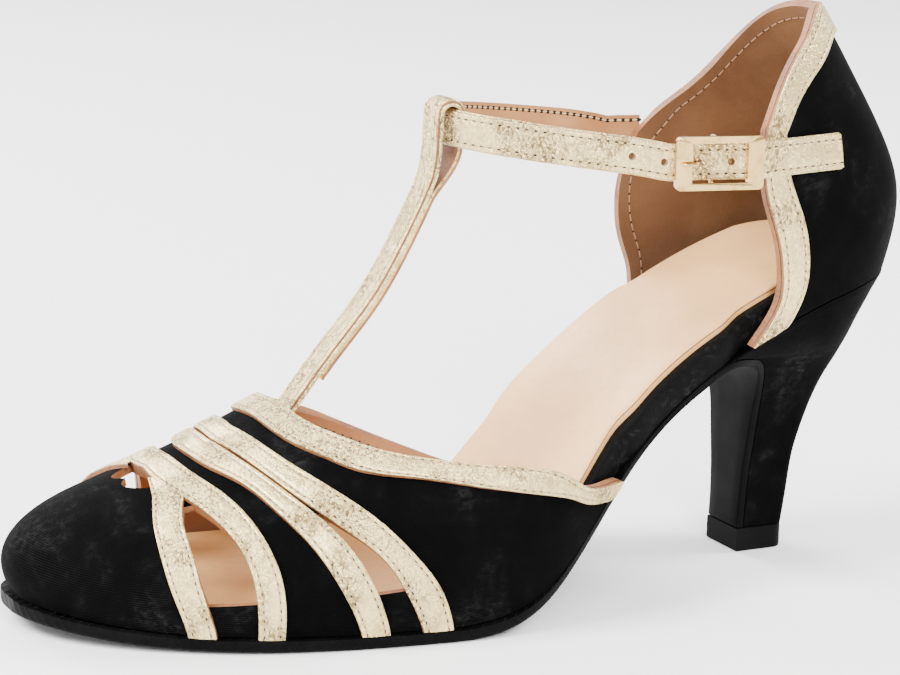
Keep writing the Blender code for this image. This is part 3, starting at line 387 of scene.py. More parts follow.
@dataclass(frozen=True)
class Metal:
    """Polished light gold plating with hairline wear and darker patches of painted reflection."""
    name: str = "plated_gold"
    colour: Colour = (0.66, 0.44, 0.17)
    # worn mixes in darker cloudy patches: painted reflection, standing for the dark reflections of polished metal
    worn: Colour = (0.36, 0.21, 0.07)

    def make(self) -> Material:
        """Build the material."""
        g = Graph(self.name)
        place = g.place()
        hair = g.noise(g.scaled(place, (1.0, 0.15, 1.0)), 3200.0, 3.0, 0.6)
        cloud = g.noise(place, 260.0, 3.0, 0.6)
        return g.done(Base_Color=g.mixed(g.span(cloud, 0.45, 0.8), self.colour, self.worn), Metallic=1.0,
                      Roughness=g.span(hair, 0.3, 0.8, 0.13, 0.24), Normal=g.relief(hair, 0.00002, 0.2))


@dataclass(frozen=True)
class Thread:
    """Twisted sewing thread."""
    name: str
    colour: Colour
    shade: Colour

    def make(self) -> Material:
        """Build the material."""
        g = Graph(self.name)
        place = g.place()
        ply = g.noise(place, 4200.0, 2.0, 0.5)
        return g.done(Base_Color=g.mixed(g.span(ply, 0.35, 0.65), self.colour, self.shade), Roughness=0.5,
                      Normal=g.relief(ply, 0.00008, 0.4))


class Wardrobe:
    """Every finish of the shoe, made once."""

    def __init__(self) -> None:
        """Build all the materials."""
        self.velvet = Velvet().make()
        self.gold = GoldLeather().make()
        self.raw = RawEdge().make()
        # The lining's tan is set darker than it shows in the light, partly painted shade for the inside of the upper
        self.lining = Leather("lining", (0.42, 0.205, 0.10), (0.33, 0.15, 0.07), 0.5, 0.35, 0.05).make()
        # Painted shade: the counter's lining is the lining's tan made much darker, for the shade inside the counter
        self.lining_in_painted_shade = Leather("lining_in_painted_shade", (0.150, 0.070, 0.028), (0.100, 0.042, 0.016), 0.6, 0.5, 0.05).make()
        self.sock = Leather("sock_leather", (0.78, 0.44, 0.175), (0.68, 0.36, 0.135), 0.42, 0.2, 0.0, 0.05).make()
        self.rose = Leather("strap_lining", (0.46, 0.225, 0.095), (0.34, 0.155, 0.06), 0.5, 0.4).make()
        self.rubber = Rubber("sole_rubber", pitch=0.0016).make()
        self.flap = Rubber("flap_rubber", rough=0.5).make()
        self.lift = Rubber("lift_rubber", (0.0035, 0.0035, 0.0038), (0.006, 0.006, 0.0065), 0.46).make()
        self.wrap = Satin().make()
        self.metal = Metal().make()
        thread = Thread("gold_thread", (0.62, 0.47, 0.24), (0.42, 0.30, 0.14)).make()
        tan_thread = Thread("tan_thread", (0.33, 0.17, 0.085), (0.20, 0.095, 0.045)).make()
        # Painted shade: a dark lens at each stitch's end stands for the shade inside the needle hole
        hole = Leather("needle_hole_painted_shade", (0.030, 0.014, 0.006), (0.015, 0.007, 0.003), 0.8, 0.2).make()
        self.sewing = [thread, hole]
        self.tan_sewing = [tan_thread, hole]


# Form of the shoe
class Curve:
    """Natural cubic through two columns of a table."""

    def __init__(self, table: Table, column: int = 1) -> None:
        """Solve the bends.

        Args:
            table: Rows of numbers, the first column rising.
            column: Column of values.
        """
        self.xs = np.array([row[0] for row in table], float)
        self.ys = np.array([row[column] for row in table], float)
        self.step = np.diff(self.xs)
        count = len(self.xs)
        system = np.eye(count)
        right = np.zeros(count)
        for i in range(1, count - 1):
            system[i, i - 1:i + 2] = (self.step[i - 1], 2 * (self.step[i - 1] + self.step[i]), self.step[i])
            right[i] = 6 * ((self.ys[i + 1] - self.ys[i]) / self.step[i]
                            - (self.ys[i] - self.ys[i - 1]) / self.step[i - 1])
        self.bend = np.linalg.solve(system, right)

    def __call__(self, x: Array | float) -> Array:
        """Values at x, held at the two ends.

        Args:
            x: Places, held at the two ends.

        Returns:
            Values of the curve.
        """
        x = np.clip(np.asarray(x, float), self.xs[0], self.xs[-1])
        i = np.clip(np.searchsorted(self.xs, x) - 1, 0, len(self.xs) - 2)
        size = self.step[i]
        a = (self.xs[i + 1] - x) / size
        b = (x - self.xs[i]) / size
        curve = (a ** 3 - a) * self.bend[i] + (b ** 3 - b) * self.bend[i + 1]
        return a * self.ys[i] + b * self.ys[i + 1] + curve * size ** 2 / 6


def matched(*values: Array | float) -> list[Array]:
    """Arrays of one shape."""
    return np.broadcast_arrays(*(np.asarray(value, float) for value in values))


def smooth(share: Array | float) -> Array:
    """Smooth step of a share held between 0 and 1."""
    share = np.clip(share, 0.0, 1.0)
    return share * share * (3 - 2 * share)


def eased(count: int) -> Array:
    """Shares from 0 to 1, closer together towards both ends."""
    return (1 - np.cos(np.pi * np.linspace(0.0, 1.0, count))) / 2


def unit(vectors: Array) -> Array:
    """Vectors at length 1."""
    return vectors / (np.linalg.norm(vectors, axis=-1, keepdims=True) + 1e-15)


def gone(points: Array) -> Array:
    """Distance gone along rows of points, from the first."""
    return np.concatenate(([0.0], np.cumsum(np.linalg.norm(np.diff(points, axis=0), axis=1))))


def even(spot: Callable[[Array], Array], start: float, end: float, count: int) -> Array:
    """Values that lie at even distances along a line.

    Args:
        spot: Points of the line for an array of values.
        start: First value.
        end: Last value.
        count: How many values.

    Returns:
        The values.
    """
    fine = np.linspace(start, end, 1500)
    way = gone(spot(fine))
    return np.interp(np.linspace(0.0, way[-1], count), way, fine)


@dataclass
class Last:
    """Sizes and surfaces that all the pieces are laid on."""
    length: float = 0.222
    ball: float = 0.0772
    heel: float = 0.048
    seat: float = 0.071
    instep: float = 0.0488
    counter_height: float = 0.065
    gap: float = 0.0003
    wall: float = 0.0018
    sole: float = 0.0033
    shank: float = 0.0018
    lift: float = 0.006
    heel_round: float = 0.1126
    toe_round: float = 0.2342
    toe_drop: float = 0.117
    toe_power: float = 2.25
    side_power: float = 2.35
    side_full: float = 0.0389
    lift_side: float = 0.0005
    footprint: Table = (
        (0.0, 0.0, 0.306), (0.0856, 0.013, 0.311), (0.2162, 0.033, 0.324), (0.3559, 0.040, 0.335),
        (0.5, 0.093, 0.448), (0.6396, 0.044, 0.5), (0.7568, -0.010, 0.490), (0.8784, -0.057, 0.429),
        (1.0, -0.084, 0.352),
    )
    bottom_line: Table = (
        (0.0, 1.0), (0.063, 0.982), (0.153, 0.905), (0.266, 0.725), (0.378, 0.433), (0.486, 0.108),
        (0.595, 0.0), (0.712, 0.0), (0.829, 0.007), (0.923, 0.025), (1.0, 0.062),
    )
    ridge: Table = (
        (0.405, 1.496, 0.0), (0.5, 1.322, -0.013), (0.595, 1.158, -0.026), (0.689, 1.0, -0.045),
        (0.784, 0.793, -0.065), (0.878, 0.652, -0.078), (1.0, 0.584, -0.091),
    )
    counter_section: Table = (
        (0.0, 0.0, 0.0, 0.0), (0.15, 0.030, 0.046, 0.046), (0.33, 0.033, 0.0625, 0.077),
        (0.53, -0.045, 0.027, 0.098), (0.76, -0.175, -0.069, 0.106), (0.91, -0.265, -0.133, 0.100),
        (1.06, -0.365, -0.1875, 0.083),
    )
    counter_top: Table = (
        (-1.0, 0.669), (-0.9, 0.698), (-0.7, 0.731), (-0.49, 0.794), (-0.27, 0.898), (-0.1, 0.969),
        (0.0, 0.994), (0.15, 1.012), (0.3, 1.0), (0.5, 0.957), (0.7, 0.912), (0.86, 0.855), (1.0, 0.774),
    )
    counter_front: Table = (
        (0.0, 0.225, 0.252), (0.1, 0.205, 0.248), (0.27, 0.200, 0.2455), (0.47, 0.2065, 0.2535),
        (0.68, 0.2165, 0.2555), (0.84, 0.2175, 0.2475), (1.0, 0.2085, 0.2255),
    )
    heel_back: Table = (
        (0.0, 0.1118), (0.14, 0.106), (0.29, 0.1013), (0.46, 0.087), (0.60, 0.0712), (0.72, 0.0531),
        (0.83, 0.036), (0.93, 0.0145), (1.0, 0.0),
    )
    breast: Table = (
        (0.268, 0.699, 0.519), (0.250, 0.722, 0.500), (0.232, 0.7325, 0.475), (0.211, 0.722, 0.427),
        (0.1925, 0.704, 0.365), (0.179, 0.634, 0.283), (0.174, 0.535, 0.221), (0.1745, 0.423, 0.190),
        (0.1755, 0.282, 0.160), (0.1765, 0.169, 0.148), (0.1775, 0.0885, 0.146),
    )
    throat_line: Table = (
        (0.0, 0.391, 0.441), (13.0, 0.450, 0.500), (27.5, 0.504, 0.577), (38.0, 0.581, 0.628),
        (47.5, 0.647, 0.667), (58.0, 0.684, 0.691), (71.0, 0.707, 0.708), (90.0, 0.7126, 0.7126),
    )
    curves: dict[str, Curve] = field(init=False)

    def __post_init__(self) -> None:
        """Fit the curves and set the heel tip's middle."""
        self.curves = {
            "centre": Curve(self.footprint, 1), "half": Curve(self.footprint, 2),
            "bottom": Curve(self.bottom_line), "ridge": Curve(self.ridge, 1),
            "ridge_side": Curve(self.ridge, 2), "bulge": Curve(self.counter_section, 1),
            "spread_back": Curve(self.counter_section, 2), "spread_front": Curve(self.counter_section, 3),
            "counter_top": Curve(self.counter_top), "front_outer": Curve(self.counter_front, 1),
            "front_inner": Curve(self.counter_front, 2), "heel_back": Curve(self.heel_back),
            "throat_outer": Curve(self.throat_line, 1), "throat_inner": Curve(self.throat_line, 2),
        }
        points = np.array([(self.length * f, self.seat * h, self.heel * w) for f, h, w in self.breast])
        drop = self.lift + self.gap - points[-1, 1]
        total = points[0, 1] - points[-1, 1]
        points[:, 1] += drop * (points[0, 1] - points[:, 1]) / total
        way = gone(points[:, :2])
        knots = tuple((s, *p) for s, p in zip(way / way[-1], points))
        self.curves["breast_u"] = Curve(knots, 1)
        self.curves["breast_w"] = Curve(knots, 2)
        self.curves["breast_half"] = Curve(knots, 3)
        self.tip_back = self.length * float(self.curves["heel_back"](0.0))
        self.tip_front = float(self.curves["breast_u"](1.0))
        self.tip_centre = (self.tip_back + self.tip_front) / 2
        self.wedge = float(self.curves["breast_u"](0.0))

    def world(self, points: Array) -> Array:
        """Shoe coordinates to the world frame."""
        return np.stack([points[..., 0] - self.lift_side, self.tip_centre - points[..., 1], points[..., 2]], -1)

    def bottom(self, u: Array | float) -> Array:
        """Height of the plane where the upper meets the sole."""
        return self.sole + (self.seat - self.sole) * np.maximum(self.curves["bottom"](u / self.length), 0.0)

    def slope(self, u: Array | float) -> Array:
        """Slope of that plane along the foot."""
        low, high = np.maximum(u - 0.001, 0.0), np.minimum(u + 0.001, self.length)
        return (self.bottom(high) - self.bottom(low)) / (high - low)

    def cap(self, u: Array | float) -> Array:
        """Rounding of the footprint at its two ends.

        Args:
            u: Place along the foot.

        Returns:
            Share of the full width.
        """
        share = u / self.length
        heel = np.clip((self.heel_round - share) / self.heel_round, 0.0, 1.0)
        toe = np.clip((share - 1.0 + self.toe_round) / self.toe_round, 0.0, 1.0)
        power = self.toe_power
        return np.sqrt(1 - heel ** 2) * (1 - toe ** power) ** (1 / power)

    def centre(self, u: Array | float) -> Array:
        """Centre line of the footprint."""
        return self.ball * self.curves["centre"](u / self.length)

    def half(self, u: Array | float) -> Array:
        """Half width of the footprint."""
        return self.ball * self.curves["half"](u / self.length)

    def ridge_reach(self, u: Array) -> Array:
        """Place on the ridge that a rib starting at u climbs to.

        Args:
            u: Place along the foot.

        Returns:
            Place on the ridge.
        """
        start = self.length * (1 - self.toe_round)
        t = np.clip((u - start) / (self.length - start), 0.0, 1.0)
        power = self.toe_round / (self.toe_round - self.toe_drop)
        return np.where(u <= start, u, start + self.length * (self.toe_round - self.toe_drop)
                        * (1 - (1 - t) ** power))

    def ridge_height(self, u: Array | float) -> Array:
        """Height of the ridge."""
        return self.instep * self.curves["ridge"](u / self.length)

    def vamp(self, u: Array | float, turn: Array | float) -> Array:
        """Outer face of the front upper.

        Args:
            u: Place along the foot.
            turn: 0 at the outer side's foot, 90 on the ridge, 180 at the inner side's foot.

        Returns:
            Points in shoe coordinates.
        """
        u, turn = matched(u, turn)
        side = np.where(turn <= 90, 1.0, -1.0)
        angle = np.radians(np.where(turn <= 90, turn, 180 - turn))
        top = self.ridge_reach(u)
        foot_v = self.centre(u) + side * self.half(u) * self.cap(u)
        ridge_v = self.ball * self.curves["ridge_side"](top / self.length)
        rise_rate = (self.ridge_height(top + 0.0005) - self.ridge_height(top - 0.0005)) / 0.001
        drop = rise_rate * (top - u)
        inward = 1 - np.maximum(np.cos(angle), 0.0) ** (2 / self.side_power)
        rise = np.maximum(np.sin(angle), 0.0) ** (2 / self.side_power)
        height = self.ridge_height(top) - self.bottom(u) - drop
        run_v = foot_v - ridge_v
        run_u = u - top
        run = np.hypot(run_v, run_u) + 1e-9
        full = self.ball * self.side_full * 4 * np.sin(angle) * (1 - np.sin(angle))
        return np.stack([foot_v - run_v * inward + full * run_v / run,
                         u - run_u * inward + full * run_u / run,
                         self.bottom(u) + height * rise + drop * inward], -1)

    def counter(self, u: Array | float, side: Array | float, h: Array | float) -> Array:
        """Outer face of the back upper.

        Args:
            u: Place along the foot.
            side: 1 outer, -1 inner.
            h: Height over the seat.

        Returns:
            Points in shoe coordinates.
        """
        u, side, h = matched(u, side, h)
        share = h / self.counter_height
        mix = np.clip(u / (0.27 * self.length), 0.0, 1.3)
        spread = self.heel * (self.curves["spread_back"](share) * (1 - mix)
                              + self.curves["spread_front"](share) * mix)
        back = self.counter_height * self.curves["bulge"](share)
        middle = self.centre(u) * (1 - np.clip(share / 0.69, 0.0, 1.0))
        return np.stack([middle + side * self.cap(u) * (self.half(u) + spread),
                         u - (1 - np.minimum(mix, 1.0)) * back, self.bottom(u) + h], -1)

    @staticmethod
    def lifted(face: Callable, a: Array, b: Array, away: Array, step: float) -> Array:
        """Normals of a face that point away from given points.

        Args:
            face: Points for two arrays of values.
            a: First values.
            b: Second values.
            away: Points on the other side.
            step: Step of the second value; the first one's is 0.4 mm.

        Returns:
            Unit normals.
        """
        here = face(a, b)
        normal = unit(np.cross(face(a + 0.0004, b) - face(a - 0.0004, b), face(a, b + step) - face(a, b - step)))
        flip = np.sum(normal * (here - away), -1, keepdims=True) < 0
        return np.where(flip, -normal, normal)

    def over_vamp(self, u: Array, turn: Array, lift: Array | float) -> Array:
        """Points lifted off the front upper.

        Args:
            u: Place along the foot.
            turn: Turn over the ridge, 0 to 180.
            lift: Distance off the face.

        Returns:
            Points in shoe coordinates.
        """
        u, turn, lift = matched(u, turn, lift)
        turn = np.clip(turn, 0.0, 180.0)
        low = np.clip(turn, 0.6, 179.4)
        away = np.stack([self.centre(u), u - 0.01, self.bottom(u) + 0.002], -1)
        return self.vamp(u, turn) + self.lifted(self.vamp, u, low, away, 0.5) * lift[..., None]

    def over_counter(self, u: Array, side: Array | float, h: Array,
                     lift: Array | float) -> Array:
        """Points lifted off the back upper.

        Args:
            u: Place along the foot.
            side: 1 outer, -1 inner.
            h: Height over the seat.
            lift: Distance off the face.

        Returns:
            Points in shoe coordinates.
        """
        u, side, h, lift = matched(u, side, h, lift)
        near = np.maximum(u, 0.0006)
        away = np.stack([np.zeros_like(u), np.full_like(u, 0.175 * self.length), self.bottom(near) + h], -1)
        normal = self.lifted(lambda a, b: self.counter(a, side, b), near, h, away, 0.0004)
        shift = normal * lift[..., None]
        shift[..., 0] *= np.clip(u / near, 0.0, 1.0)
        return self.counter(u, side, h) + shift

    def throat(self, turn: Array | float) -> Array:
        """Place of the throat edge at a turn."""
        return self.length * np.where(turn <= 90, self.curves["throat_outer"](turn),
                                      self.curves["throat_inner"](180 - turn))

    def throat_spot(self, turn: Array | float) -> Array:
        """Point of the throat edge at a turn."""
        return self.vamp(self.throat(turn), turn)

    def corner(self, side: Array | float) -> Array:
        """Height of the counter's front corner."""
        return self.counter_height * self.curves["counter_top"](side)

    def front_reach(self, side: Array, h: Array) -> Array:
        """Place of the counter's front edge at a height."""
        share = np.minimum(h / self.corner(side), 1.0)
        return self.length * np.where(side > 0, self.curves["front_outer"](share),
                                      self.curves["front_inner"](share))

    def counter_spot(self, signed: Array, rise: Array) -> tuple[Array, Array, Array]:
        """Place, side and height on the counter for shares along and up.

        Args:
            signed: Share along, 1 at the outer front and -1 at the inner.
            rise: Share up.

        Returns:
            Place, side and height.
        """
        signed, rise = matched(signed, rise)
        side = np.where(signed >= 0, 1.0, -1.0)
        h = rise * self.counter_height * self.curves["counter_top"](signed)
        return np.abs(signed) * self.front_reach(side, h), side, h

    def breast_point(self, share: Array, depth: float) -> tuple[Array, Array]:
        """Breast path moved back into the heel by a depth.

        Args:
            share: Share down the breast.
            depth: Depth into the heel.

        Returns:
            Place and height.
        """
        low = np.maximum(share - 0.004, 0.0)
        high = np.minimum(share + 0.004, 1.0)
        u, w = self.curves["breast_u"], self.curves["breast_w"]
        du, dw = u(high) - u(low), w(high) - w(low)
        size = np.hypot(du, dw)
        return u(share) + depth * dw / size, w(share) - depth * du / size

    def tip_mix(self, width: Array) -> Array:
        """0 at the heel tip's width, 1 at the seat's."""
        low, high = self.curves["breast_half"](1.0), self.curves["breast_half"](0.0)
        return (width - low) / (high - low)

    def wall_room(self) -> float:
        """Room that the upper's wall takes, with its clearances."""
        return self.wall + 2 * self.gap

    def over_seat(self, share: float) -> float:
        """Height of a share of the counter over the seat."""
        return self.seat + self.counter_height * share


# Modelling
def deselected() -> None:
    """Deselect every object."""
    bpy.ops.object.select_all(action="DESELECT")


def edited(on: bool) -> None:
    """Enter edit mode or leave it."""
    bpy.ops.object.mode_set(mode="EDIT" if on else "OBJECT")


def picked(on: bool) -> None:
    """Select all of a mesh in edit mode, or nothing."""
    bpy.ops.mesh.select_all(action="SELECT" if on else "DESELECT")


def focus(item: Item) -> None:
    """Select one object alone and make it active."""
    deselected()
    item.select_set(True)
    bpy.context.view_layer.objects.active = item


def applied(item: Item, kind: str, **settings: object) -> None:
    """Add a modifier and apply it.

    Args:
        item: Object that gets it.
        kind: Modifier type.
        **settings: Its properties.
    """
    focus(item)
    step = item.modifiers.new(kind.lower(), kind)
    for key, value in settings.items():
        setattr(step, key, value)
    bpy.ops.object.modifier_apply(modifier=step.name)


def rounded(item: Item, degrees: float = 40.0) -> None:
    """Smooth shading up to an angle."""
    focus(item)
    bpy.ops.object.shade_smooth_by_angle(angle=float(np.radians(degrees)))


def laid_grid(name: str, rows: Array, paints: Sequence[int], wrap: bool, last: Last) -> Item:
    """Grid primitive whose vertices are laid on rows of points, with a map in metres.

    Args:
        name: Name of the object.
        rows: Points in shoe coordinates, rows along and columns across.
        paints: Material number of each column of faces.
        wrap: Whether the last column closes on the first.
        last: Form that turns shoe coordinates to the world's.

    Returns:
        The object.
    """
    count_along, count_across = rows.shape[:2]
    wide = count_across if wrap else count_across - 1
    deselected()
    bpy.ops.mesh.primitive_grid_add(x_subdivisions=wide, y_subdivisions=count_along - 1, size=1.0)
    item = bpy.context.active_object
    item.name = name
    mesh = item.data
    mesh.name = name
    flat = np.empty(len(mesh.vertices) * 3)
    mesh.vertices.foreach_get("co", flat)
    flat = flat.reshape(-1, 3)
    i = np.rint((flat[:, 0] + 0.5) * wide).astype(int)
    j = np.rint((flat[:, 1] + 0.5) * (count_along - 1)).astype(int)
    points = last.world(rows)
    mesh.vertices.foreach_set("co", points[j, i % count_across].reshape(-1))
    loop = np.empty(len(mesh.loops), int)
    mesh.loops.foreach_get("vertex_index", loop)
    closed = np.concatenate([rows, rows[:, :1]], 1) if wrap else rows
    across = np.concatenate([np.zeros((count_along, 1)),
                             np.cumsum(np.linalg.norm(np.diff(closed, axis=1), axis=2), 1)], 1)
    along = gone(rows[:, count_across // 4])
    chart = np.stack([along[j[loop]], across[j[loop], i[loop]]], 1)
    layer = mesh.uv_layers[0] if mesh.uv_layers else mesh.uv_layers.new()
    layer.name = "run"
    layer.data.foreach_set("uv", chart.reshape(-1))
    first = np.array([min(i[v] for v in face.vertices) for face in mesh.polygons])
    wanted = np.asarray(paints)[first] if len(paints) > 1 else np.full(len(first), paints[0])
    mesh.polygons.foreach_set("material_index", wanted.astype(np.int32))
    mesh.update()
    return item


def dressed(item: Item, materials: Sequence[Material]) -> Item:
    """Give an object its materials."""
    for material in materials:
        item.data.materials.append(material)
    return item


def mended(item: Item, fill: int | None = None) -> None:
    """Merge doubles, fill open ends and turn the faces outwards.

    Args:
        item: Object to mend.
        fill: Material number for the faces that close the ends, or None to leave them open.
    """
    focus(item)
    edited(True)
    bpy.ops.mesh.select_mode(type="VERT")
    picked(True)
    bpy.ops.mesh.remove_doubles(threshold=0.000001)
    if fill is not None:
        item.active_material_index = fill
        picked(False)
        bpy.ops.mesh.select_non_manifold()
        bpy.ops.mesh.fill_holes(sides=0)
        edited(False)
        for face in item.data.polygons:
            if len(face.vertices) > 4:
                face.material_index = fill
        edited(True)
    picked(True)
    bpy.ops.mesh.normals_make_consistent(inside=False)
    edited(False)


def lofted(name: str, rings: Array, paints: Sequence[int], last: Last,
           materials: Sequence[Material], fill: int = 0) -> Item:
    """Closed solid through rings of points.

    Args:
        name: Name of the object.
        rings: Rings in shoe coordinates.
        paints: Material number of each side of the rings.
        last: Form of the shoe.
        materials: Materials by number.
        fill: Material number of the ends.

    Returns:
        The object.
    """
    item = dressed(laid_grid(name, rings, paints, True, last), materials)
    mended(item, fill)
    rounded(item)
    return item


def walled(name: str, rows: Array, away: Array, thick: float, last: Last,
           materials: Sequence[Material]) -> Item:
    """Sheet with a wall behind it: material 0 outside, 1 inside and 2 on its edges.

    Args:
        name: Name of the object.
        rows: Points of the outer face in shoe coordinates.
        away: Point inside the piece.
        thick: Wall thickness.
        last: Form of the shoe.
        materials: Materials by number.

    Returns:
        The object.
    """
    item = dressed(laid_grid(name, rows, [0], False, last), materials)
    mended(item)
    middle = Vector(last.world(away))
    score = sum(f.normal.dot(f.center - middle) * f.area for f in item.data.polygons)
    if score < 0:
        focus(item)
        edited(True)
        picked(True)
        bpy.ops.mesh.flip_normals()
        edited(False)
    outward = [f.normal.copy() for f in item.data.polygons]
    count = len(outward)
    applied(item, "SOLIDIFY", thickness=thick, offset=-1.0, use_even_offset=False)
    faces = item.data.polygons
    for number, normal in enumerate(outward):
        outside = faces[number].normal.dot(normal) > 0
        faces[number].material_index = 0 if outside else 1
        faces[number + count].material_index = 1 if outside else 0
    for number in range(2 * count, len(faces)):
        faces[number].material_index = 2
    return item


def cut(item: Item, cutter: Item) -> None:
    """Cut one object out of another and remove the cutter."""
    applied(item, "BOOLEAN", operation="DIFFERENCE", solver="EXACT", object=cutter, material_mode="TRANSFER")
    bpy.data.objects.remove(cutter, do_unlink=True)


def seated(item: Item, slot: Slot, *nodes: str) -> Item:
    """Put a finished piece on the shoe.

    Args:
        item: The piece.
        slot: Its slot in the record; not used.
        *nodes: CAD nodes that it stands for.

    Returns:
        The piece.
    """
    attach(item, "root")
    if nodes:
        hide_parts(*nodes)
    LOG.info("%s: %d faces", item.name, len(item.data.polygons))
    return item


@dataclass
class Stitching:
    """Rows of thread between needle holes."""
    pitch: float = 0.0021
    thread: float = 0.00019
    hole: float = 0.00062
    sides: int = 6

    def sew(self, name: str, seams: Sequence[Seam], last: Last, materials: Sequence[Material]) -> Item:
        """Sew along lines.

        Args:
            name: Name of the object.
            seams: Points and outward normals of each line, in shoe coordinates.
            last: Form of the shoe.
            materials: Thread and hole materials.

        Returns:
            The object that holds all the stitches.
        """
        placed = []
        for points, normals in seams:
            way = gone(points)
            count = max(int((way[-1] - 0.0006) / self.pitch), 1)
            at = 0.0003 + (way[-1] - 0.0006 - count * self.pitch) / 2 + np.arange(count + 1) * self.pitch
            spots = np.stack([np.interp(at, way, points[:, k]) for k in range(3)], 1)
            ups = unit(np.stack([np.interp(at, way, normals[:, k]) for k in range(3)], 1))
            for k in range(count + 1):
                ahead = spots[min(k + 1, count)] - spots[max(k - 1, 0)]
                ahead = unit(ahead - ups[k] * np.dot(ahead, ups[k]))
                placed.append((1, spots[k], (ahead, np.cross(ups[k], ahead), ups[k])))
                if k < count:
                    step, up = spots[k + 1] - spots[k], unit(ups[k] + ups[k + 1])
                    axes = (step / self.pitch, np.cross(up, unit(step)), up)
                    placed.append((0, (spots[k] + spots[k + 1]) / 2, axes))
        forms = (self.bar(), self.dot())
        verts, faces, paints = [], [], []
        total = 0
        for paint, spot, axes in placed:
            form, sides = forms[paint]
            verts.append(spot + form @ np.stack(axes))
            faces += [tuple(total + n for n in side) for side in sides]
            paints += [paint] * len(sides)
            total += len(form)
        mesh = bpy.data.meshes.new(name)
        mesh.from_pydata(last.world(np.concatenate(verts)).tolist(), [], faces)
        item = bpy.data.objects.new(name, mesh)
        bpy.context.scene.collection.objects.link(item)
        mesh.polygons.foreach_set("material_index", paints)
        dressed(item, materials)
        mended(item)
        rounded(item, 60.0)
        return item

    def bar(self) -> tuple[Array, list]:
        """Thread from hole to hole, arched a little."""
        stations = ((-0.5, -0.5, 0.5), (-0.38, 0.55, 0.9), (-0.12, 0.95, 1.0), (0.12, 0.95, 1.0),
                    (0.38, 0.55, 0.9), (0.5, -0.5, 0.5))
        verts, faces = [], []
        for along, rise, size in stations:
            for n in range(self.sides):
                angle = 2 * np.pi * n / self.sides
                verts.append((along * (self.pitch - self.hole), size * self.thread * np.cos(angle),
                              rise * self.thread * 0.5 + size * self.thread * 0.8 * np.sin(angle)))
        for s in range(len(stations) - 1):
            for n in range(self.sides):
                m = (n + 1) % self.sides
                a = s * self.sides
                faces.append((a + n, a + m, a + self.sides + m, a + self.sides + n))
        faces.append(tuple(range(self.sides)))
        faces.append(tuple(reversed(range(len(verts) - self.sides, len(verts)))))
        return np.array(verts), faces

    def dot(self) -> tuple[Array, list]:
        """Needle hole: a low lens on the leather, its dark colour painted shade of the hole."""
        verts = [(0.0, 0.0, 0.00007)]
        for n in range(8):
            angle = 2 * np.pi * n / 8
            verts.append((1.35 * self.hole * np.cos(angle), 0.8 * self.hole * np.sin(angle), 0.00003))
        verts.append((0.0, 0.0, -0.00012))
        faces = [(0, 1 + n, 1 + (n + 1) % 8) for n in range(8)]
        faces += [(9, 1 + (n + 1) % 8, 1 + n) for n in range(8)]
        return np.array(verts), faces


@dataclass
class Strip:
    """Strip of leather of a given section, laid over a surface or along a path."""
    at: Callable[[Array, Array], Array]
    widths: Array
    base: float
    thick: float
    margin: float = 0.00125
    crown: float = 0.00012
    groove: float = 0.00014
    groove_half: float = 0.00028
    corner: float = 0.00028

    def section(self) -> tuple[Array, Array, list[int]]:
        """Shares across and lifts of the ring at every station, and the material of each side."""
        near = np.array([0.0, 0.3, 0.65, 1.0]) * self.corner
        seam = self.margin + np.array([-0.00045, -0.0002, 0.0, 0.0002, 0.00045])
        shares, lifts = [], []
        for width in self.widths:
            left = np.concatenate([near, seam])
            inner = np.linspace(seam[-1], width - seam[-1], 8)[1:-1]
            d = np.concatenate([left, inner, width - left[::-1]])
            edge = np.minimum(d, width - d)
            f = d / width
            past = np.maximum(self.corner - edge, 0.0)
            fall = self.corner - np.sqrt(np.maximum(self.corner ** 2 - past ** 2, 0.0))
            lift = self.base + self.thick + self.crown * 4 * f * (1 - f) - fall
            lift = lift - self.groove * np.exp(-((edge - self.margin) / self.groove_half) ** 2)
            low = self.base
            rim = self.base + (self.thick - self.corner) * 0.5
            shares.append(np.concatenate([f, [1.0, 1.0, 0.5, 0.0, 0.0]]))
            lifts.append(np.concatenate([lift, [rim, low, low, low, rim]]))
        top = len(shares[0]) - 5
        paints = [0] * (top - 1) + [2, 2, 1, 1, 2, 2]
        return np.array(shares), np.array(lifts), paints

    def solid(self, name: str, last: Last, materials: Sequence[Material]) -> Item:
        """Build the strip: material 0 on its face, 1 behind and 2 on its edges."""
        shares, lifts, paints = self.section()
        single = list(dict.fromkeys(materials))
        paints = [single.index(materials[paint]) for paint in paints]
        return lofted(name, self.at(shares, lifts), paints, last, single, single.index(materials[2]))

    def seam(self, from_left: bool, under: bool = False) -> Seam:
        """Line of a row of stitches.

        Args:
            from_left: Which edge it follows.
            under: Whether it lies on the back face.

        Returns:
            Points and outward normals.
        """
        share = self.margin / self.widths
        share = (share if from_left else 1 - share)[:, None]
        lift = self.base if under else self.base + self.thick + self.crown * 0.5 - self.groove
        here = self.at(share, np.full_like(share, lift))[:, 0]
        out = self.at(share, np.full_like(share, lift + 0.0005))[:, 0]
        return here, unit(out - here) * (-1.0 if under else 1.0)

    def cross_seam(self, station: int) -> Seam:
        """Row of stitches across the strip at one station.

        Args:
            station: Number of the station.

        Returns:
            Points and outward normals.
        """
        left, out = self.seam(True)
        right, _ = self.seam(False)
        row = np.linspace(0.0, 1.0, 8)[:, None]
        return left[station] * (1 - row) + right[station] * row, np.tile(out[station], (8, 1))


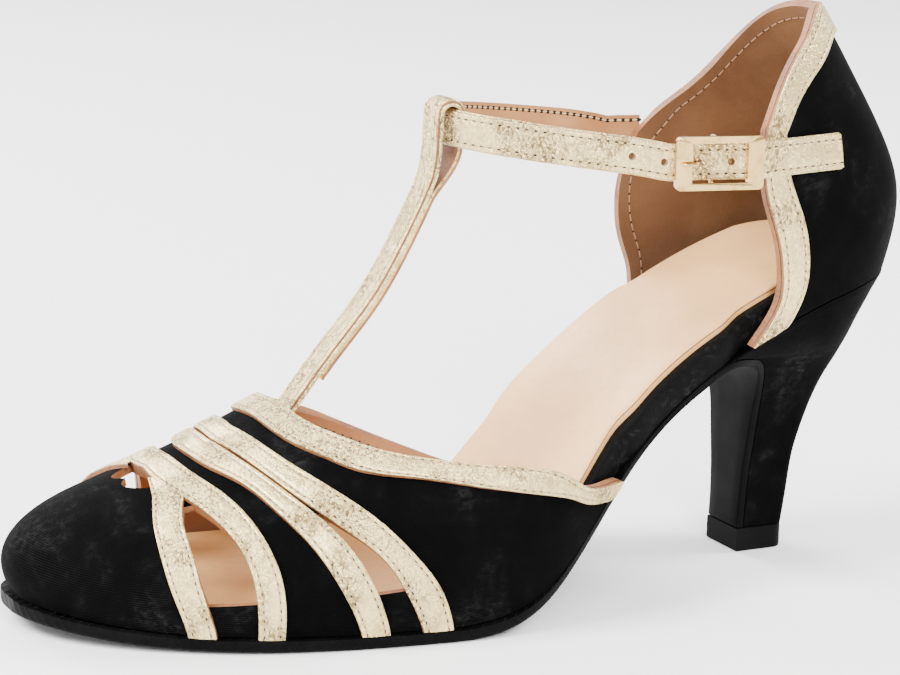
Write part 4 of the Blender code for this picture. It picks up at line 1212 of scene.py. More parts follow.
@dataclass
class Assembly:
    """Part of the shoe, built over the last in the wardrobe's finishes."""
    last: Last
    wear: Wardrobe

    def gold_band(self, strip: Strip, node: str) -> None:
        """Build a band and its two rows of stitches.

        Args:
            strip: Its form.
            node: CAD node that it stands for.
        """
        wear = self.wear
        seated(strip.solid(node + "_leather", self.last, [wear.gold, wear.raw, wear.raw]), Slot.GOLD, node)
        self.stitches(node, [strip.seam(True), strip.seam(False)])

    def stitches(self, node: str, seams: Sequence[Seam]) -> None:
        """Sew rows on the outer face."""
        seated(Stitching().sew(node + "_stitches", seams, self.last, self.wear.sewing), Slot.GOLD)

    def lining_stitches(self, name: str, lifted: Callable[[float], Array]) -> None:
        """Sew a row on the inner face of a wall.

        Args:
            name: Name of the object.
            lifted: Points of the row at a lift off the wall's outer face.
        """
        here = lifted(-self.last.wall)
        seam = (here, unit(lifted(-self.last.wall - 0.0005) - here))
        sewn = Stitching(pitch=0.0024, hole=0.00032).sew(name, [seam], self.last, self.wear.tan_sewing)
        seated(sewn, Slot.TAN)


# Front upper
@dataclass
class FrontUpper(Assembly):
    """Black front upper with its windows, gold bands and lining."""
    band: float = 0.00122
    rest: float = 0.00006
    window_a: tuple[float, float] = (11.0, 59.0)
    window_c: tuple[float, float] = (9.0, 38.5)
    top_window: float = 14.5
    top_reach: float = 0.958
    top_end: float = 0.883
    top_power: float = 2.4
    throat_end: float = 0.42
    throat_width: float = 0.0272
    throat_widest: float = 0.05
    seam_margin: float = 0.0036
    cut_out: float = 0.0025
    cut_in: float = 0.0045
    tables: dict[str, Table] = field(default_factory=lambda: {
        "1": ((0.0, 0.867, 0.8414), (18.0, 0.882, 0.8554), (36.0, 0.8905, 0.8617), (54.0, 0.8937, 0.8622),
              (66.0, 0.8905, 0.8514)),
        "2": ((0.0, 0.8045, 0.7788), (20.0, 0.8099, 0.7838), (32.0, 0.8162, 0.7910), (46.0, 0.8302, 0.8014),
              (60.0, 0.8505, 0.8153), (76.0, 0.8775, 0.8324), (90.0, 0.8928, 0.8392)),
        "3": ((0.0, 0.7041, 0.6748), (14.0, 0.7297, 0.6973), (28.0, 0.7518, 0.7221), (45.0, 0.7761, 0.7523),
              (62.0, 0.7955, 0.7730), (76.0, 0.8135, 0.7838), (90.0, 0.8212, 0.7887)),
        "4": ((0.0, 0.6410, 0.6090), (8.0, 0.6595, 0.6239), (18.0, 0.6824, 0.6513), (28.0, 0.7113, 0.6784),
              (44.0, 0.7482, 0.7176), (60.0, 0.7694, 0.7441), (90.0, 0.7874, 0.7613)),
    })

    def __post_init__(self) -> None:
        """Fit the band edges."""
        self.edges = {key: (Curve(rows, 1), Curve(rows, 2)) for key, rows in self.tables.items()}

    def edge(self, key: str, turn: Array) -> tuple[Array, Array]:
        """Front and rear edge of a band at given turns.

        Args:
            key: The band's number.
            turn: Turn over the ridge, 0 to 180.

        Returns:
            Front and rear places.
        """
        fold = np.where(turn <= 90, turn, 180 - turn)
        front = self.last.length * self.edges[key][0](fold)
        rear = self.last.length * self.edges[key][1](fold)
        if key == "4":
            front = np.minimum(front, self.edge("3", turn)[1] - 1.3 * self.last.gap)
        return front, rear

    def build(self) -> None:
        """Build the upper, the bands and their stitches."""
        shell = self.shell()
        for mirror in (False, True):
            self.side_window(shell, "1", "2", self.window_a, mirror)
            self.side_window(shell, "3", "4", self.window_c, mirror)
        self.cap_window(shell)
        rounded(shell, 38.0)
        seated(shell, Slot.VELVET, "vamp")
        for key in ("2", "3", "4"):
            self.long_band(key)
        self.short_band(Side.OUTER)
        self.short_band(Side.INNER)
        self.throat_band()
        self.lining_seam()

    def shell(self) -> Item:
        """Hollow upper over the last."""
        last = self.last
        turns = even(lambda t: last.vamp(0.72 * last.length, t), 0.0, 180.0, 171)
        shares = 1 - (1 - np.linspace(0.0, 1.0, 121)) ** 1.7
        start = last.throat(turns)[None, :]
        u = start + (last.length - start) * shares[:, None]
        rows = last.vamp(u, turns[None, :])
        return walled("vamp_upper", rows, np.array([0.0, 0.7 * last.length, 0.01]), last.wall, last,
                      [self.wear.velvet, self.wear.lining, self.wear.raw])

    def window(self, item: Item, front: Array, rear: Array, turns: Array) -> None:
        """Cut an opening between two lines over the upper.

        Args:
            item: The upper.
            front: Front line at the turns.
            rear: Rear line at the turns.
            turns: Turns from one end of the opening to the other.
        """
        shares = np.linspace(0.0, 1.0, 9)
        u = rear[:, None] + (front - rear)[:, None] * shares[None, :]
        high = self.last.over_vamp(u, turns[:, None], self.cut_out)
        low = self.last.over_vamp(u, turns[:, None], -self.cut_in)
        rings = np.concatenate([high, low[:, ::-1]], 1)
        cutter = lofted("window", rings, [0], self.last, [self.wear.raw])
        cut(item, cutter)

    def side_window(self, item: Item, ahead: str, behind: str, limits: tuple[float, float], mirror: bool) -> None:
        """Opening between the rear edge of one band and the front edge of the next.

        Args:
            item: The upper.
            ahead: Band in front.
            behind: Band behind.
            limits: First and last turn.
            mirror: Whether it is the inner side.
        """
        start, end = (180 - limits[1], 180 - limits[0]) if mirror else limits
        middle = self.edge(behind, np.array([(start + end) / 2]))[0][0]
        turns = even(lambda t: self.last.vamp(middle, t), start, end, 41)
        self.window(item, self.edge(ahead, turns)[1] + 0.0001, self.edge(behind, turns)[0] - 0.0001, turns)

    def cap_window(self, item: Item) -> None:
        """Opening behind the toe cap, over the ridge.

        Args:
            item: The upper.
        """
        turns = np.linspace(90 - self.top_window, 90 + self.top_window, 41)
        off = np.abs(turns - 90) / self.top_window
        front = self.last.length * (self.top_reach + (self.top_end - self.top_reach) * off ** self.top_power)
        rear = np.minimum(self.edge("2", turns)[0] - 0.0001, front - 0.0006)
        self.window(item, front, rear, turns)

    def strip(self, turns: Array, front: Array, rear: Array) -> Strip:
        """Strip between two lines over the upper.

        Args:
            turns: Turns of the stations.
            front: Front line.
            rear: Rear line.

        Returns:
            The strip.
        """
        last = self.last
        left = last.vamp(rear, turns)
        right = last.vamp(front, turns)
        widths = np.linalg.norm(right - left, axis=1)

        def at(shares: Array, lifts: Array) -> Array:
            """Points of the strip."""
            return last.over_vamp(rear[:, None] + (front - rear)[:, None] * shares, turns[:, None], lifts)
        return Strip(at, widths, self.rest, self.band)

    def long_band(self, key: str) -> None:
        """Band from one side of the foot to the other."""
        turns = even(lambda t: self.last.vamp(self.edge(key, t)[1], t), 0.0, 180.0, 181)
        front, rear = self.edge(key, turns)
        self.gold_band(self.strip(turns, front, rear), "strap_" + key)

    def short_band(self, side: Side) -> None:
        """Side band that ends against the next one.

        Args:
            side: Side of the foot.
        """
        last = self.last
        shares = np.linspace(0.0, 1.0, 9)
        ends, high = np.full(9, 40.0), np.full(9, 80.0)
        for _ in range(30):
            middle = (ends + high) / 2
            front, rear = self.edge("1", middle)
            ahead = rear + (front - rear) * shares > self.edge("2", middle)[0] + 0.00005
            ends, high = np.where(ahead, middle, ends), np.where(ahead, high, middle)
        stations = even(lambda t: last.vamp(self.edge("1", t)[1], t), 0.0, ends[0], 74) / ends[0]

        def at(across: Array, lifts: Array) -> Array:
            """Points of the strip."""
            turn = stations[:, None] * np.interp(across, shares, ends)
            front, rear = self.edge("1", turn)
            place = turn if side is Side.OUTER else 180 - turn
            return last.over_vamp(rear + (front - rear) * across, place, lifts)
        edges = at(np.tile([0.0, 1.0], (74, 1)), np.zeros((74, 2)))
        widths = np.linalg.norm(edges[:, 1] - edges[:, 0], axis=1)
        name = "strap_1_lateral" if side is Side.OUTER else "strap_1_medial"
        self.gold_band(Strip(at, widths, self.rest, self.band), name)

    def throat_band(self) -> None:
        """Band along the throat edge."""
        last = self.last
        turns = even(last.throat_spot, 0.0, 180.0, 231)
        fold = np.minimum(turns, 180 - turns)
        run = last.throat(fold + 1.0) - last.throat(np.maximum(fold - 1.0, 0.0))
        rise = 0.45 * last.length / 90.0
        slant = np.hypot(run, rise) / rise
        width = last.length * np.minimum(self.throat_width * slant ** 0.55, self.throat_widest)
        width = width * (self.throat_end + (1 - self.throat_end) * smooth((turns - 12.0) / 15.0))
        start = last.throat(turns) + 0.0001
        self.gold_band(self.strip(turns, start + width, start), "throat_band")

    def lining_seam(self) -> None:
        """Row of stitches inside, along the throat."""
        last = self.last
        turns = even(last.throat_spot, 4.0, 176.0, 200)
        place = last.throat(turns) + self.seam_margin
        self.lining_stitches("throat_lining_stitches", lambda lift: last.over_vamp(place, turns, lift))


# Back upper
@dataclass
class BackUpper(Assembly):
    """Black counter with its gold trim and lining."""
    trim: float = 0.007
    thick: float = 0.00122
    rest: float = 0.00006
    seam_margin: float = 0.0030

    def build(self) -> None:
        """Build the counter, its trim and the stitches."""
        self.shell()
        self.trim_band()
        self.lining_seam()

    def shell(self) -> None:
        """Hollow back upper."""
        last = self.last
        share = np.linspace(-1.0, 1.0, 181)
        signed = np.sign(share) * np.abs(share) ** 1.7
        rises = np.linspace(0.0, 1.0, 61)
        u, side, h = last.counter_spot(signed[:, None], rises[None, :])
        rows = last.counter(u, side, h)
        item = walled("counter_upper", rows, np.array([0.0, 0.15 * last.length, last.seat + 0.03]), last.wall,
                      last, [self.wear.velvet, self.wear.lining_in_painted_shade, self.wear.raw])
        rounded(item, 38.0)
        seated(item, Slot.VELVET, "counter")

    def edge(self, t: Array) -> tuple[Array, Array, Array]:
        """Counter edge from the outer foot up, round the back and down to the inner foot.

        Args:
            t: Shares of the way.

        Returns:
            Place, side and height.
        """
        along = (0.5 - t) / 0.2
        signed = np.where(t < 0.3, 1.0, np.where(t > 0.7, -1.0, np.sign(along) * np.abs(along) ** 1.6))
        rise = np.where(t < 0.3, t / 0.3, np.where(t > 0.7, (1 - t) / 0.3, 1.0))
        return self.last.counter_spot(signed, rise)

    def spot(self, t: Array, inward: Array) -> tuple[Array, Array, Array]:
        """Spot moved in from the edge, square to it.

        Args:
            t: Shares of the way along the edge.
            inward: Distance in from it.

        Returns:
            Place, side and height.
        """
        u, side, h = self.edge(t)
        a = self.edge(np.maximum(t - 0.012, 0.0))
        b = self.edge(np.minimum(t + 0.012, 1.0))
        run = a[0] * a[1] - b[0] * b[1]
        rise = (a[2] - b[2]) * smooth((np.abs(t - 0.5) - 0.02) / 0.07)
        size = np.hypot(run, rise)
        signed = u * side + inward * rise / size
        return np.abs(signed), np.where(signed >= 0, 1.0, -1.0), np.maximum(h - inward * run / size, 0.0)

    def trim_band(self) -> None:
        """Gold band along the counter's front and top edges."""
        last = self.last
        t = np.concatenate([np.linspace(0.0, 0.284, 72), [0.3], np.linspace(0.316, 0.684, 131), [0.7],
                            np.linspace(0.716, 1.0, 72)])

        def at(shares: Array, lifts: Array) -> Array:
            """Points of the strip."""
            u, side, h = self.spot(t[:, None] + 0.0 * shares, 0.0001 + self.trim * shares)
            return last.over_counter(u, side, h, lifts)
        self.gold_band(Strip(at, np.full(len(t), self.trim), self.rest, self.thick), "counter_trim")

    def lining_seam(self) -> None:
        """Row of stitches inside, along the counter's edge."""
        last = self.last
        t = np.concatenate([np.linspace(0.02, 0.27, 60), np.linspace(0.33, 0.67, 100), np.linspace(0.73, 0.98, 60)])
        u, side, h = self.spot(t, np.full(len(t), self.seam_margin))
        self.lining_stitches("counter_lining_stitches", lambda lift: last.over_counter(u, side, h, lift))


# Bottom
@dataclass
class Bottom(Assembly):
    """Sole, board, sock, heel and heel tip."""
    edge: float = 0.0014
    board: float = 0.0065
    board_thin: float = 0.515
    board_corner: float = 0.0011
    arch_rise: float = 0.0025
    breast_ease: float = 0.06
    heel_cup: float = 0.72
    heel_round: float = 0.3
    heel_power: float = 2.6
    sock: float = 0.0016
    sock_end: float = 0.955
    sock_crown: float = 0.0004
    sock_corner: float = 0.0010
    sock_drop: float = 0.0011
    sock_inset: float = 0.0026

    def build(self) -> None:
        """Build all the bottom pieces."""
        self.outsole()
        self.insole_board()
        self.sock_lining()
        self.heel_block()
        self.top_lift()

    def extent(self, u: Array) -> tuple[Array, Array]:
        """How far the sole stands out past the upper, and its thickness."""
        ease = smooth((u / self.last.length - 0.44) / 0.12)
        return self.edge * ease, self.last.shank + (self.last.sole - self.last.shank) * ease

    def outsole(self) -> None:
        """Sole with a rounded lip, running on down the heel breast."""
        last = self.last
        wedge_step = (last.bottom(last.wedge) - last.shank * np.sqrt(1 + last.slope(last.wedge) ** 2)
                      - last.curves["breast_w"](0.0))
        start = last.length * (1 - last.toe_round)
        reach = last.length - start
        ease = self.breast_ease * last.length
        shares = 0.002 + 0.998 * eased(190)
        rings = []
        for share in shares:
            u = last.length - (last.length - last.wedge - 0.0001) * share ** 1.15
            out, thick = self.extent(u)
            spread = last.half(u) * last.cap(u) + out
            place = start + (u - start) * (reach + out) / reach if u > start else u
            level = last.bottom(u) - last.gap
            low = max(level + last.gap - thick * np.sqrt(1 + last.slope(u) ** 2), 0.0)
            low -= wedge_step * smooth((ease + last.wedge - u) / ease)
            rim = 0.22 * thick
            pull = min(spread, rim * 1.6)
            widths = (spread - 0.3 * pull, spread, spread - 0.35 * pull, spread - pull)
            heights = (level, level - 0.25 * rim, low + rim, low + 0.28 * rim, low)
            rings.append(self.sole_ring(last.centre(u), widths, [(place, w) for w in heights]))
        for share in np.linspace(0.0, 1.0, 90):
            width = last.curves["breast_half"](share)
            mix = last.tip_mix(width)
            inner, rim, corner, outer = (last.breast_point(share, k * last.shank) for k in (1.0, 0.25, 0.07, 0.0))
            middle = last.lift_side * (1 - mix) + last.centre(outer[0]) * mix
            back_u = min(inner[0], last.wedge - 0.0001) if share < 0.05 else inner[0]
            pull = 0.32 * last.shank
            half_way = ((back_u + rim[0]) / 2, (inner[1] + rim[1]) / 2)
            rings.append(self.sole_ring(middle, (width, width, width - 0.35 * pull, width - pull),
                                        [(back_u, inner[1]), half_way, rim, corner, outer]))
        item = lofted("outsole_rubber", np.array(rings), [0], last, [self.wear.rubber, self.wear.flap])
        tip = last.world(np.array([0.0, last.wedge, 0.0]))[1]
        for face in item.data.polygons:
            if face.center.y > tip - 0.0005:
                face.material_index = 1
        seated(item, Slot.RUBBER, "outsole")

    @staticmethod
    def sole_ring(middle: float, widths: Sequence[float], spots: Sequence[tuple[float, float]]) -> list:
        """Section of the sole: its top, one lip, the underside and the other lip.

        Args:
            middle: Centre line.
            widths: Half widths of the top, the lip, the lip's corner and the underside.
            spots: Places and heights of the top, the lip's two edges, its corner and the underside.

        Returns:
            Ring of points.
        """
        top, side, corner, under = widths
        face = [(middle + k * top, *spots[0]) for k in (-1, -0.6, 0, 0.6, 1)]
        lip = [(middle + side, *spots[1]), (middle + side, *spots[2]), (middle + corner, *spots[3])]
        back = [(middle + k * under, *spots[4]) for k in (1, 0.5, 0, -0.5, -1)]
        return face + lip + back + [(2 * middle - v, u, w) for v, u, w in reversed(lip)]

    def inset(self, u: Array, side: float) -> Array:
        """How far the board sits inside where the upper wraps it.

        Args:
            u: Place along the foot.
            side: 1 outer, -1 inner.

        Returns:
            The distance.
        """
        last = self.last
        name = "outer" if side > 0 else "inner"
        back = last.curves["front_" + name](0.0)
        ahead = last.curves["throat_" + name](0.0)
        share = u / last.length
        open_side = smooth(np.minimum(np.clip((share - back) / 0.035, 0, 1), np.clip((ahead - share) / 0.035, 0, 1)))
        return last.wall_room() * (1 - open_side)

    def board_top(self, u: Array) -> Array:
        """Height of the board's upper face."""
        ahead = np.clip((u / self.last.length - 0.45) / 0.15, 0.0, 1.0)
        slant = np.sqrt(1 + self.last.slope(u) ** 2)
        return self.last.bottom(u) + self.board * (1 - self.board_thin * ahead) * slant

    def side_line(self, place: Array, side: float, inset: float) -> Array:
        """Edge of a layer pulled in by an inset.

        Args:
            place: Place along the foot.
            side: 1 outer, -1 inner.
            inset: Distance in from the board.

        Returns:
            Distance to the outer side.
        """
        last = self.last
        tuck = self.inset(place, side) + inset
        length_in = last.wall_room() + inset
        u = last.length * 0.5 + (place - last.length * 0.5) / (1 - 2 * length_in / last.length)
        return last.centre(place) + side * np.maximum(last.half(u) - tuck, 0.001) * last.cap(u)

    def inner_rise(self, place: Array, share: Array | float) -> Array:
        """Extra height of the board and the sock towards their inner edge along the arch."""
        along = place / self.last.length
        ease = np.clip((along - 0.03) / 0.1, 0.0, 1.0) * np.clip((0.5 - along) / 0.1, 0.0, 1.0)
        return self.arch_rise * ease * (1 - share) ** 1.5

    def insole_board(self) -> None:
        """Wrapped board with a rounded corner."""
        last = self.last
        ends = last.wall_room() + 0.0003
        places = ends + (last.length - 2 * ends) * eased(161)
        left, right = self.side_line(places, -1.0, 0.0), self.side_line(places, 1.0, 0.0)
        base, peak = last.bottom(places), self.board_top(places)
        radius = np.minimum(self.board_corner, (right - left) * 0.2)
        corner = [(radius * (1 - np.sin(a)), radius * (1 - np.cos(a))) for a in np.linspace(0, np.pi / 2, 6)]
        high = peak + self.inner_rise(places, 0.0)
        rings = [(right - shift, peak - drop) for shift, drop in corner]
        waist = base + 0.45 * (peak - base)
        rings += [(right, waist), (right - 0.0003, base), ((left + right) / 2, base), (left + 0.0003, base),
                  (left, waist)]
        rings += [(left + shift, high - drop) for shift, drop in reversed(corner)]
        rings += [(left + (right - left) * share, peak + self.inner_rise(places, share))
                  for share in np.linspace(0.12, 0.88, 9)]
        ring = np.stack([np.stack([v, places, w], -1) for v, w in rings], 1)
        seated(lofted("insole_board_wrap", ring, [0], last, [self.wear.wrap]), Slot.BOARD, "insole_board")

    def sock_lining(self) -> None:
        """Padded sock, crowned, with a turned down edge."""
        last = self.last
        start = last.wall_room() + self.sock_inset + 0.0003
        end = self.sock_end * last.length
        places = start + (end - start) * eased(151)
        left, right = self.side_line(places, -1.0, self.sock_inset), self.side_line(places, 1.0, self.sock_inset)
        slant = np.sqrt(1 + last.slope(places) ** 2)
        base = self.board_top(places) + 0.00005
        drops = [(0.0, 1.0), (0.04, 0.62), (0.2, 0.28), (0.5, 0.08), (1.0, 0.0)]
        half = (right - left) / 2
        middle = (right + left) / 2
        thick = (self.sock + last.gap) * slant
        high = self.inner_rise(places, 0.0)
        columns = [(right - reach * self.sock_corner, base + thick - drop * self.sock_drop) for reach, drop in drops]
        shares = np.linspace(0.93, -0.93, 25)
        for share in shares:
            lift = self.inner_rise(places, (1 + share) / 2) + self.sock_crown * (1 - share ** 2)
            columns.append((middle + half * share, base + thick + lift))
        columns += [(left + reach * self.sock_corner, base + thick + high - drop * self.sock_drop)
                    for reach, drop in reversed(drops)]
        columns.append((left, base + high))
        columns += [(left + 2 * half * share, base + self.inner_rise(places, share))
                    for share in np.linspace(0.12, 0.88, 9)]
        columns.append((right, base))
        ring = np.stack([np.stack([v, places, w], -1) for v, w in columns], 1)
        paints = [0] * len(columns)
        crown_end = 2 * len(drops) + len(shares)
        for side in (0, crown_end - 2, crown_end - 1, len(columns) - 2):
            paints[side] = 1
        item = lofted("sock_lining_pad", ring, paints, last, [self.wear.sock, self.wear.raw])
        seated(item, Slot.TAN, "sock_lining")

    def heel_level(self, rise: float) -> Array:
        """Ring of the heel at one level, from the inner front round the back to the outer front.

        Args:
            rise: Share of the height, 0 at the heel tip.

        Returns:
            Ring of points.
        """
        last = self.last
        share = 1 - min(rise / 0.97, 1.0)
        front_u, front_w = last.breast_point(share, last.shank + last.gap)
        if share < 0.03:
            front_u = min(front_u, last.wedge - 0.0004)
            front_w = min(front_w + 2 * last.gap, last.bottom(front_u) - 2 * last.gap)
        if rise <= 0.0:
            front_w = last.lift + last.gap
        width = last.curves["breast_half"](share)
        mix = last.tip_mix(width)
        seat_front = last.wedge - 0.0004
        if rise >= 0.999:
            front_u = seat_front
            front_w = last.bottom(front_u) - last.gap
        back_u = last.length * last.curves["heel_back"](rise)
        back_w = last.lift + last.gap + rise * (last.bottom(0.0) - 2 * last.gap - last.lift)
        ease = smooth((rise - self.heel_cup) / (1 - self.heel_cup))
        g = eased(61) ** 1.25
        u = back_u + (front_u - back_u) * g
        seat_u = seat_front * g
        level = back_w + (front_w - back_w) * g
        seat = (last.bottom(u) - last.gap - (last.bottom(front_u) - last.gap - front_w) * g
                - (last.bottom(0.0) - last.gap - back_w) * (1 - g))
        w = level * (1 - ease) + seat * ease
        near = np.clip((self.heel_round - g) / self.heel_round, 0.0, 1.0)
        box = (1 - near ** self.heel_power) ** (1 / self.heel_power)
        round_top = last.cap(seat_u) * last.half(seat_u) / last.half(seat_front)
        spread = width * (box * (1 - mix) + round_top * mix)
        middle = last.lift_side * (1 - mix) + last.centre(seat_u) * mix
        inner, outer = (np.stack([middle + k * spread, u, w], -1) for k in (-1, 1))
        return np.concatenate([inner[::-1], outer[1:]])

    def heel_block(self) -> None:
        """Velvet covered heel."""
        rises = np.concatenate([np.linspace(0.0, 0.97, 90), [1.0]])
        rings = np.array([self.heel_level(float(r)) for r in rises])
        seated(lofted("heel_cover", rings, [0], self.last, [self.wear.velvet]), Slot.VELVET, "heel_block")

    def top_lift(self) -> None:
        """Rubber heel tip in the outline of the heel's foot, its edges rounded."""
        last = self.last
        ring = self.heel_level(0.0)
        reach = (last.tip_front - last.tip_back) / (ring[0, 1] - last.tip_back)
        place = last.tip_back + (ring[:, 1] - last.tip_back) * reach
        rings = []
        for inset, w in ((0.0005, 0.0), (0.00015, 0.00015), (0.0, 0.0005), (0.0, 0.003), (0.0, last.lift - 0.0004),
                         (0.00012, last.lift - 0.00012), (0.0004, last.lift)):
            off = ring[:, 0] - last.lift_side
            v = last.lift_side + np.sign(off) * np.maximum(np.abs(off) + 0.00015 - inset, 0.0)
            u = np.clip(place, last.tip_back + inset, last.tip_front - inset)
            rings.append(np.stack([v, u, np.full_like(u, w)], -1))
        seated(lofted("heel_tip_rubber", np.array(rings), [0], last, [self.wear.lift]), Slot.RUBBER, "top_lift")


# Straps and buckle
@dataclass
class Straps(Assembly):
    """T-strap, ankle strap and buckle."""
    strap_thick: float = 0.0014
    ankle_width: float = 0.0087
    t_width: float = 0.0084
    t_thick: float = 0.0016
    loop_room: float = 0.0013
    hole_radius: float = 0.0009
    hole_pitch: float = 0.0082
    band: float = 0.001
    loop_reach: float = 0.548
    loop_rise: float = 0.600
    buckle_reach: float = 0.277
    buckle_turn: float = 12.0
    buckle_rise: float = 0.492
    straight: float = 0.053
    tip_reach: float = 0.121
    tip_rise: float = 0.500
    inner_reach: float = 0.216
    inner_start: float = 0.262
    inner_rise: float = 0.455
    prong_at: float = 0.0052
    frame_length: float = 0.0214
    frame_height: float = 0.0126
    frame_thick: float = 0.0015
    window_length: float = 0.0136
    window_height: float = 0.0094
    bar_radius: float = 0.0006
    prong_radius: float = 0.0005
    tab_thick: float = 0.0008
    tab_width: float = 0.0072
    frame_corner: float = 0.0013
    frame_round: float = 0.00052
    slot_length: float = 0.008
    slot_depth: float = 0.012
    slot_at: float = 0.0025
    face_inset: float = 0.0007
    layer_room: float = 0.00004
    foot_tuck: float = 0.0014
    loop_lift: float = 0.0022
    fold_start: float = 0.0062
    fold_length: float = 0.0125
    tail_short: float = 0.007
    seam_drop: float = 0.0165
    t_path: Table = ((0.0, 0.0), (0.29, 0.20), (0.57, 0.385), (0.79, 0.585), (0.93, 0.74), (0.99, 0.84),
                     (1.0, 0.94), (1.0, 1.0))
    ankle_plan: Table = ((0.0, 1.0, 0.0), (0.16, 0.965, 0.22), (0.35, 0.895, 0.41), (0.613, 0.735, 0.655),
                         (0.848, 0.49, 0.875), (0.966, 0.24, 0.98), (1.0, 0.0, 1.0))

    def __post_init__(self) -> None:
        """Set the buckle's place and directions."""
        self.stack = self.last.gap + self.band + 2 * self.last.gap + self.strap_thick / 2
        turn = np.radians(self.buckle_turn)
        self.forward = np.array([-np.sin(turn), np.cos(turn), 0.0])
        back = self.strap_spot(self.buckle_reach - self.straight, self.last.over_seat(self.buckle_rise), 1.0)
        self.hold = back + self.forward * self.straight * self.last.length
        self.up = np.array([0.0, 0.0, 1.0])
        self.out = np.array([self.forward[1], -self.forward[0], 0.0])
        self.plate = self.strap_thick / 2 + 0.0007 + self.frame_thick / 2
        self.bar_out = -(self.strap_thick / 2 + 2 * self.last.gap + self.tab_thick + self.bar_radius + 0.0008)

    def build(self) -> None:
        """Build the straps, the buckle and their stitches."""
        self.t_strap()
        self.ankle_strap()
        self.buckle_frame()
        self.buckle_prong()
        self.buckle_tab()

    def strap_spot(self, reach: float, height: float, side: float) -> Array:
        """Middle of the ankle strap where it lies over the counter."""
        u = self.last.length * reach
        return self.last.over_counter(np.array(u), side, height - self.last.bottom(u), self.stack)

    def strap_lean(self, reach: float, height: float, side: float) -> Array:
        """Upward direction of the counter's face there."""
        reach_up = self.ankle_width / 2
        return unit(self.strap_spot(reach, height + reach_up, side) - self.strap_spot(reach, height - reach_up, side))

    def local(self, t: float, n: float, z: float) -> Array:
        """Point by the buckle: along the strap, out from it and up."""
        return self.hold + self.forward * t + self.out * n + self.up * z

    @staticmethod
    def resampled(points: Array, ups: Array, pitch: float) -> tuple[Array, Array]:
        """Smooth path through stations, at an even pitch.

        Args:
            points: Stations.
            ups: Width direction at each.
            pitch: Distance between the new stations.

        Returns:
            New stations and directions.
        """
        way = gone(points)
        table = tuple((s, *p, *q) for s, p, q in zip(way, points, ups))
        at = np.linspace(0.0, way[-1], int(way[-1] / pitch) + 1)
        made = np.stack([Curve(table, k)(at) for k in range(1, 7)], 1)
        return made[:, :3], unit(made[:, 3:])

    @staticmethod
    def along_path(points: Array, ups: Array, width: float, base: float, thick: float) -> Strip:
        """Strip along a path, its lifts measured out from the path.

        Args:
            points: Stations.
            ups: Width directions.
            width: Width.
            base: Lift of the under face.
            thick: Thickness.

        Returns:
            The strip.
        """
        ahead = unit(np.gradient(points, axis=0))
        wide = unit(ups - ahead * np.sum(ups * ahead, 1, keepdims=True))
        out = np.cross(ahead, wide)

        def at(shares: Array, lifts: Array) -> Array:
            """Points of the strip."""
            return (points[:, None] + wide[:, None] * ((shares - 0.5) * width)[..., None]
                    + out[:, None] * lifts[..., None])
        return Strip(at, np.full(len(points), width), base, thick)

    def two_layers(self, name: str, points: Array, ups: Array, width: float, thick: float,
                   inner: Material) -> tuple:
        """Gold face and tan back of a strap.

        Args:
            name: Name of the strap.
            points: Stations.
            ups: Width directions.
            width: Width of the strap.
            thick: Thickness of both layers.
            inner: Material of the back.

        Returns:
            Face strip, back strip, face object and back object.
        """
        wear = self.wear
        room = self.layer_room
        face = self.along_path(points, ups, width - self.face_inset, room, thick / 2 - room)
        back = self.along_path(points, ups, width, -thick / 2, thick / 2 - room)
        back.crown = back.groove = 0.0
        face_item = face.solid(name + "_leather", self.last, [wear.gold, wear.rose, wear.raw])
        back_item = back.solid(name + "_lining", self.last, [wear.gold, inner, wear.gold])
        return face, back, face_item, back_item

    def t_strap(self) -> None:
        """Strap from the throat up, folded over and sewn down behind itself."""
        last = self.last
        side, _, foot_w = last.throat_spot(90.0)
        base_u = last.throat(78.0) - self.foot_tuck
        base_w = foot_w - 0.55 * self.t_thick
        top_u = last.length * self.loop_reach
        top_w = last.over_seat(self.loop_rise) + 0.0012
        table = tuple((i / (len(self.t_path) - 1), base_u + (top_u - base_u) * a, base_w + (top_w - base_w) * b)
                      for i, (a, b) in enumerate(self.t_path))
        s = np.linspace(0.0, 1.0, 60)
        front = np.stack([side * (1 - s), Curve(table, 1)(s), Curve(table, 2)(s)], 1)
        radius = (self.t_thick + self.strap_thick) / 2 + self.loop_room
        angles = np.linspace(0.0, np.pi, 17)[1:]
        loop = np.stack([np.zeros(16), top_u - radius * (1 - np.cos(angles)),
                         top_w + self.loop_lift + radius * 0.9 * np.sin(angles)], 1)
        depth = np.linspace(0.001, top_w - base_w - self.tail_short, 60)
        behind = 2 * radius + (self.t_thick - 2 * radius) * smooth((depth - self.fold_start) / self.fold_length)
        level = top_w - depth
        slopes = np.gradient(front[:, 1], front[:, 2])
        aside, front_u, slant = (np.interp(level, front[:, 2], row) for row in (front[:, 0], front[:, 1], slopes))
        tail = np.stack([aside, front_u - behind * np.sqrt(1 + slant ** 2), level], 1)
        points = np.concatenate([front, loop, tail])
        ups = np.tile([1.0, 0.0, 0.0], (len(points), 1))
        points, ups = self.resampled(points, ups, 0.0007)
        face, _, face_item, back_item = self.two_layers("t_strap", points, ups, self.t_width, self.t_thick,
                                                        self.wear.raw)
        seated(face_item, Slot.GOLD, "t_strap")
        seated(back_item, Slot.TAN)
        stop = int(np.argmax(points[:, 2] > top_w - self.seam_drop))
        seams = [(here[2:stop], out[2:stop]) for here, out in (face.seam(True), face.seam(False))]
        seams.append(face.cross_seam(stop))
        self.stitches("t_strap", seams)

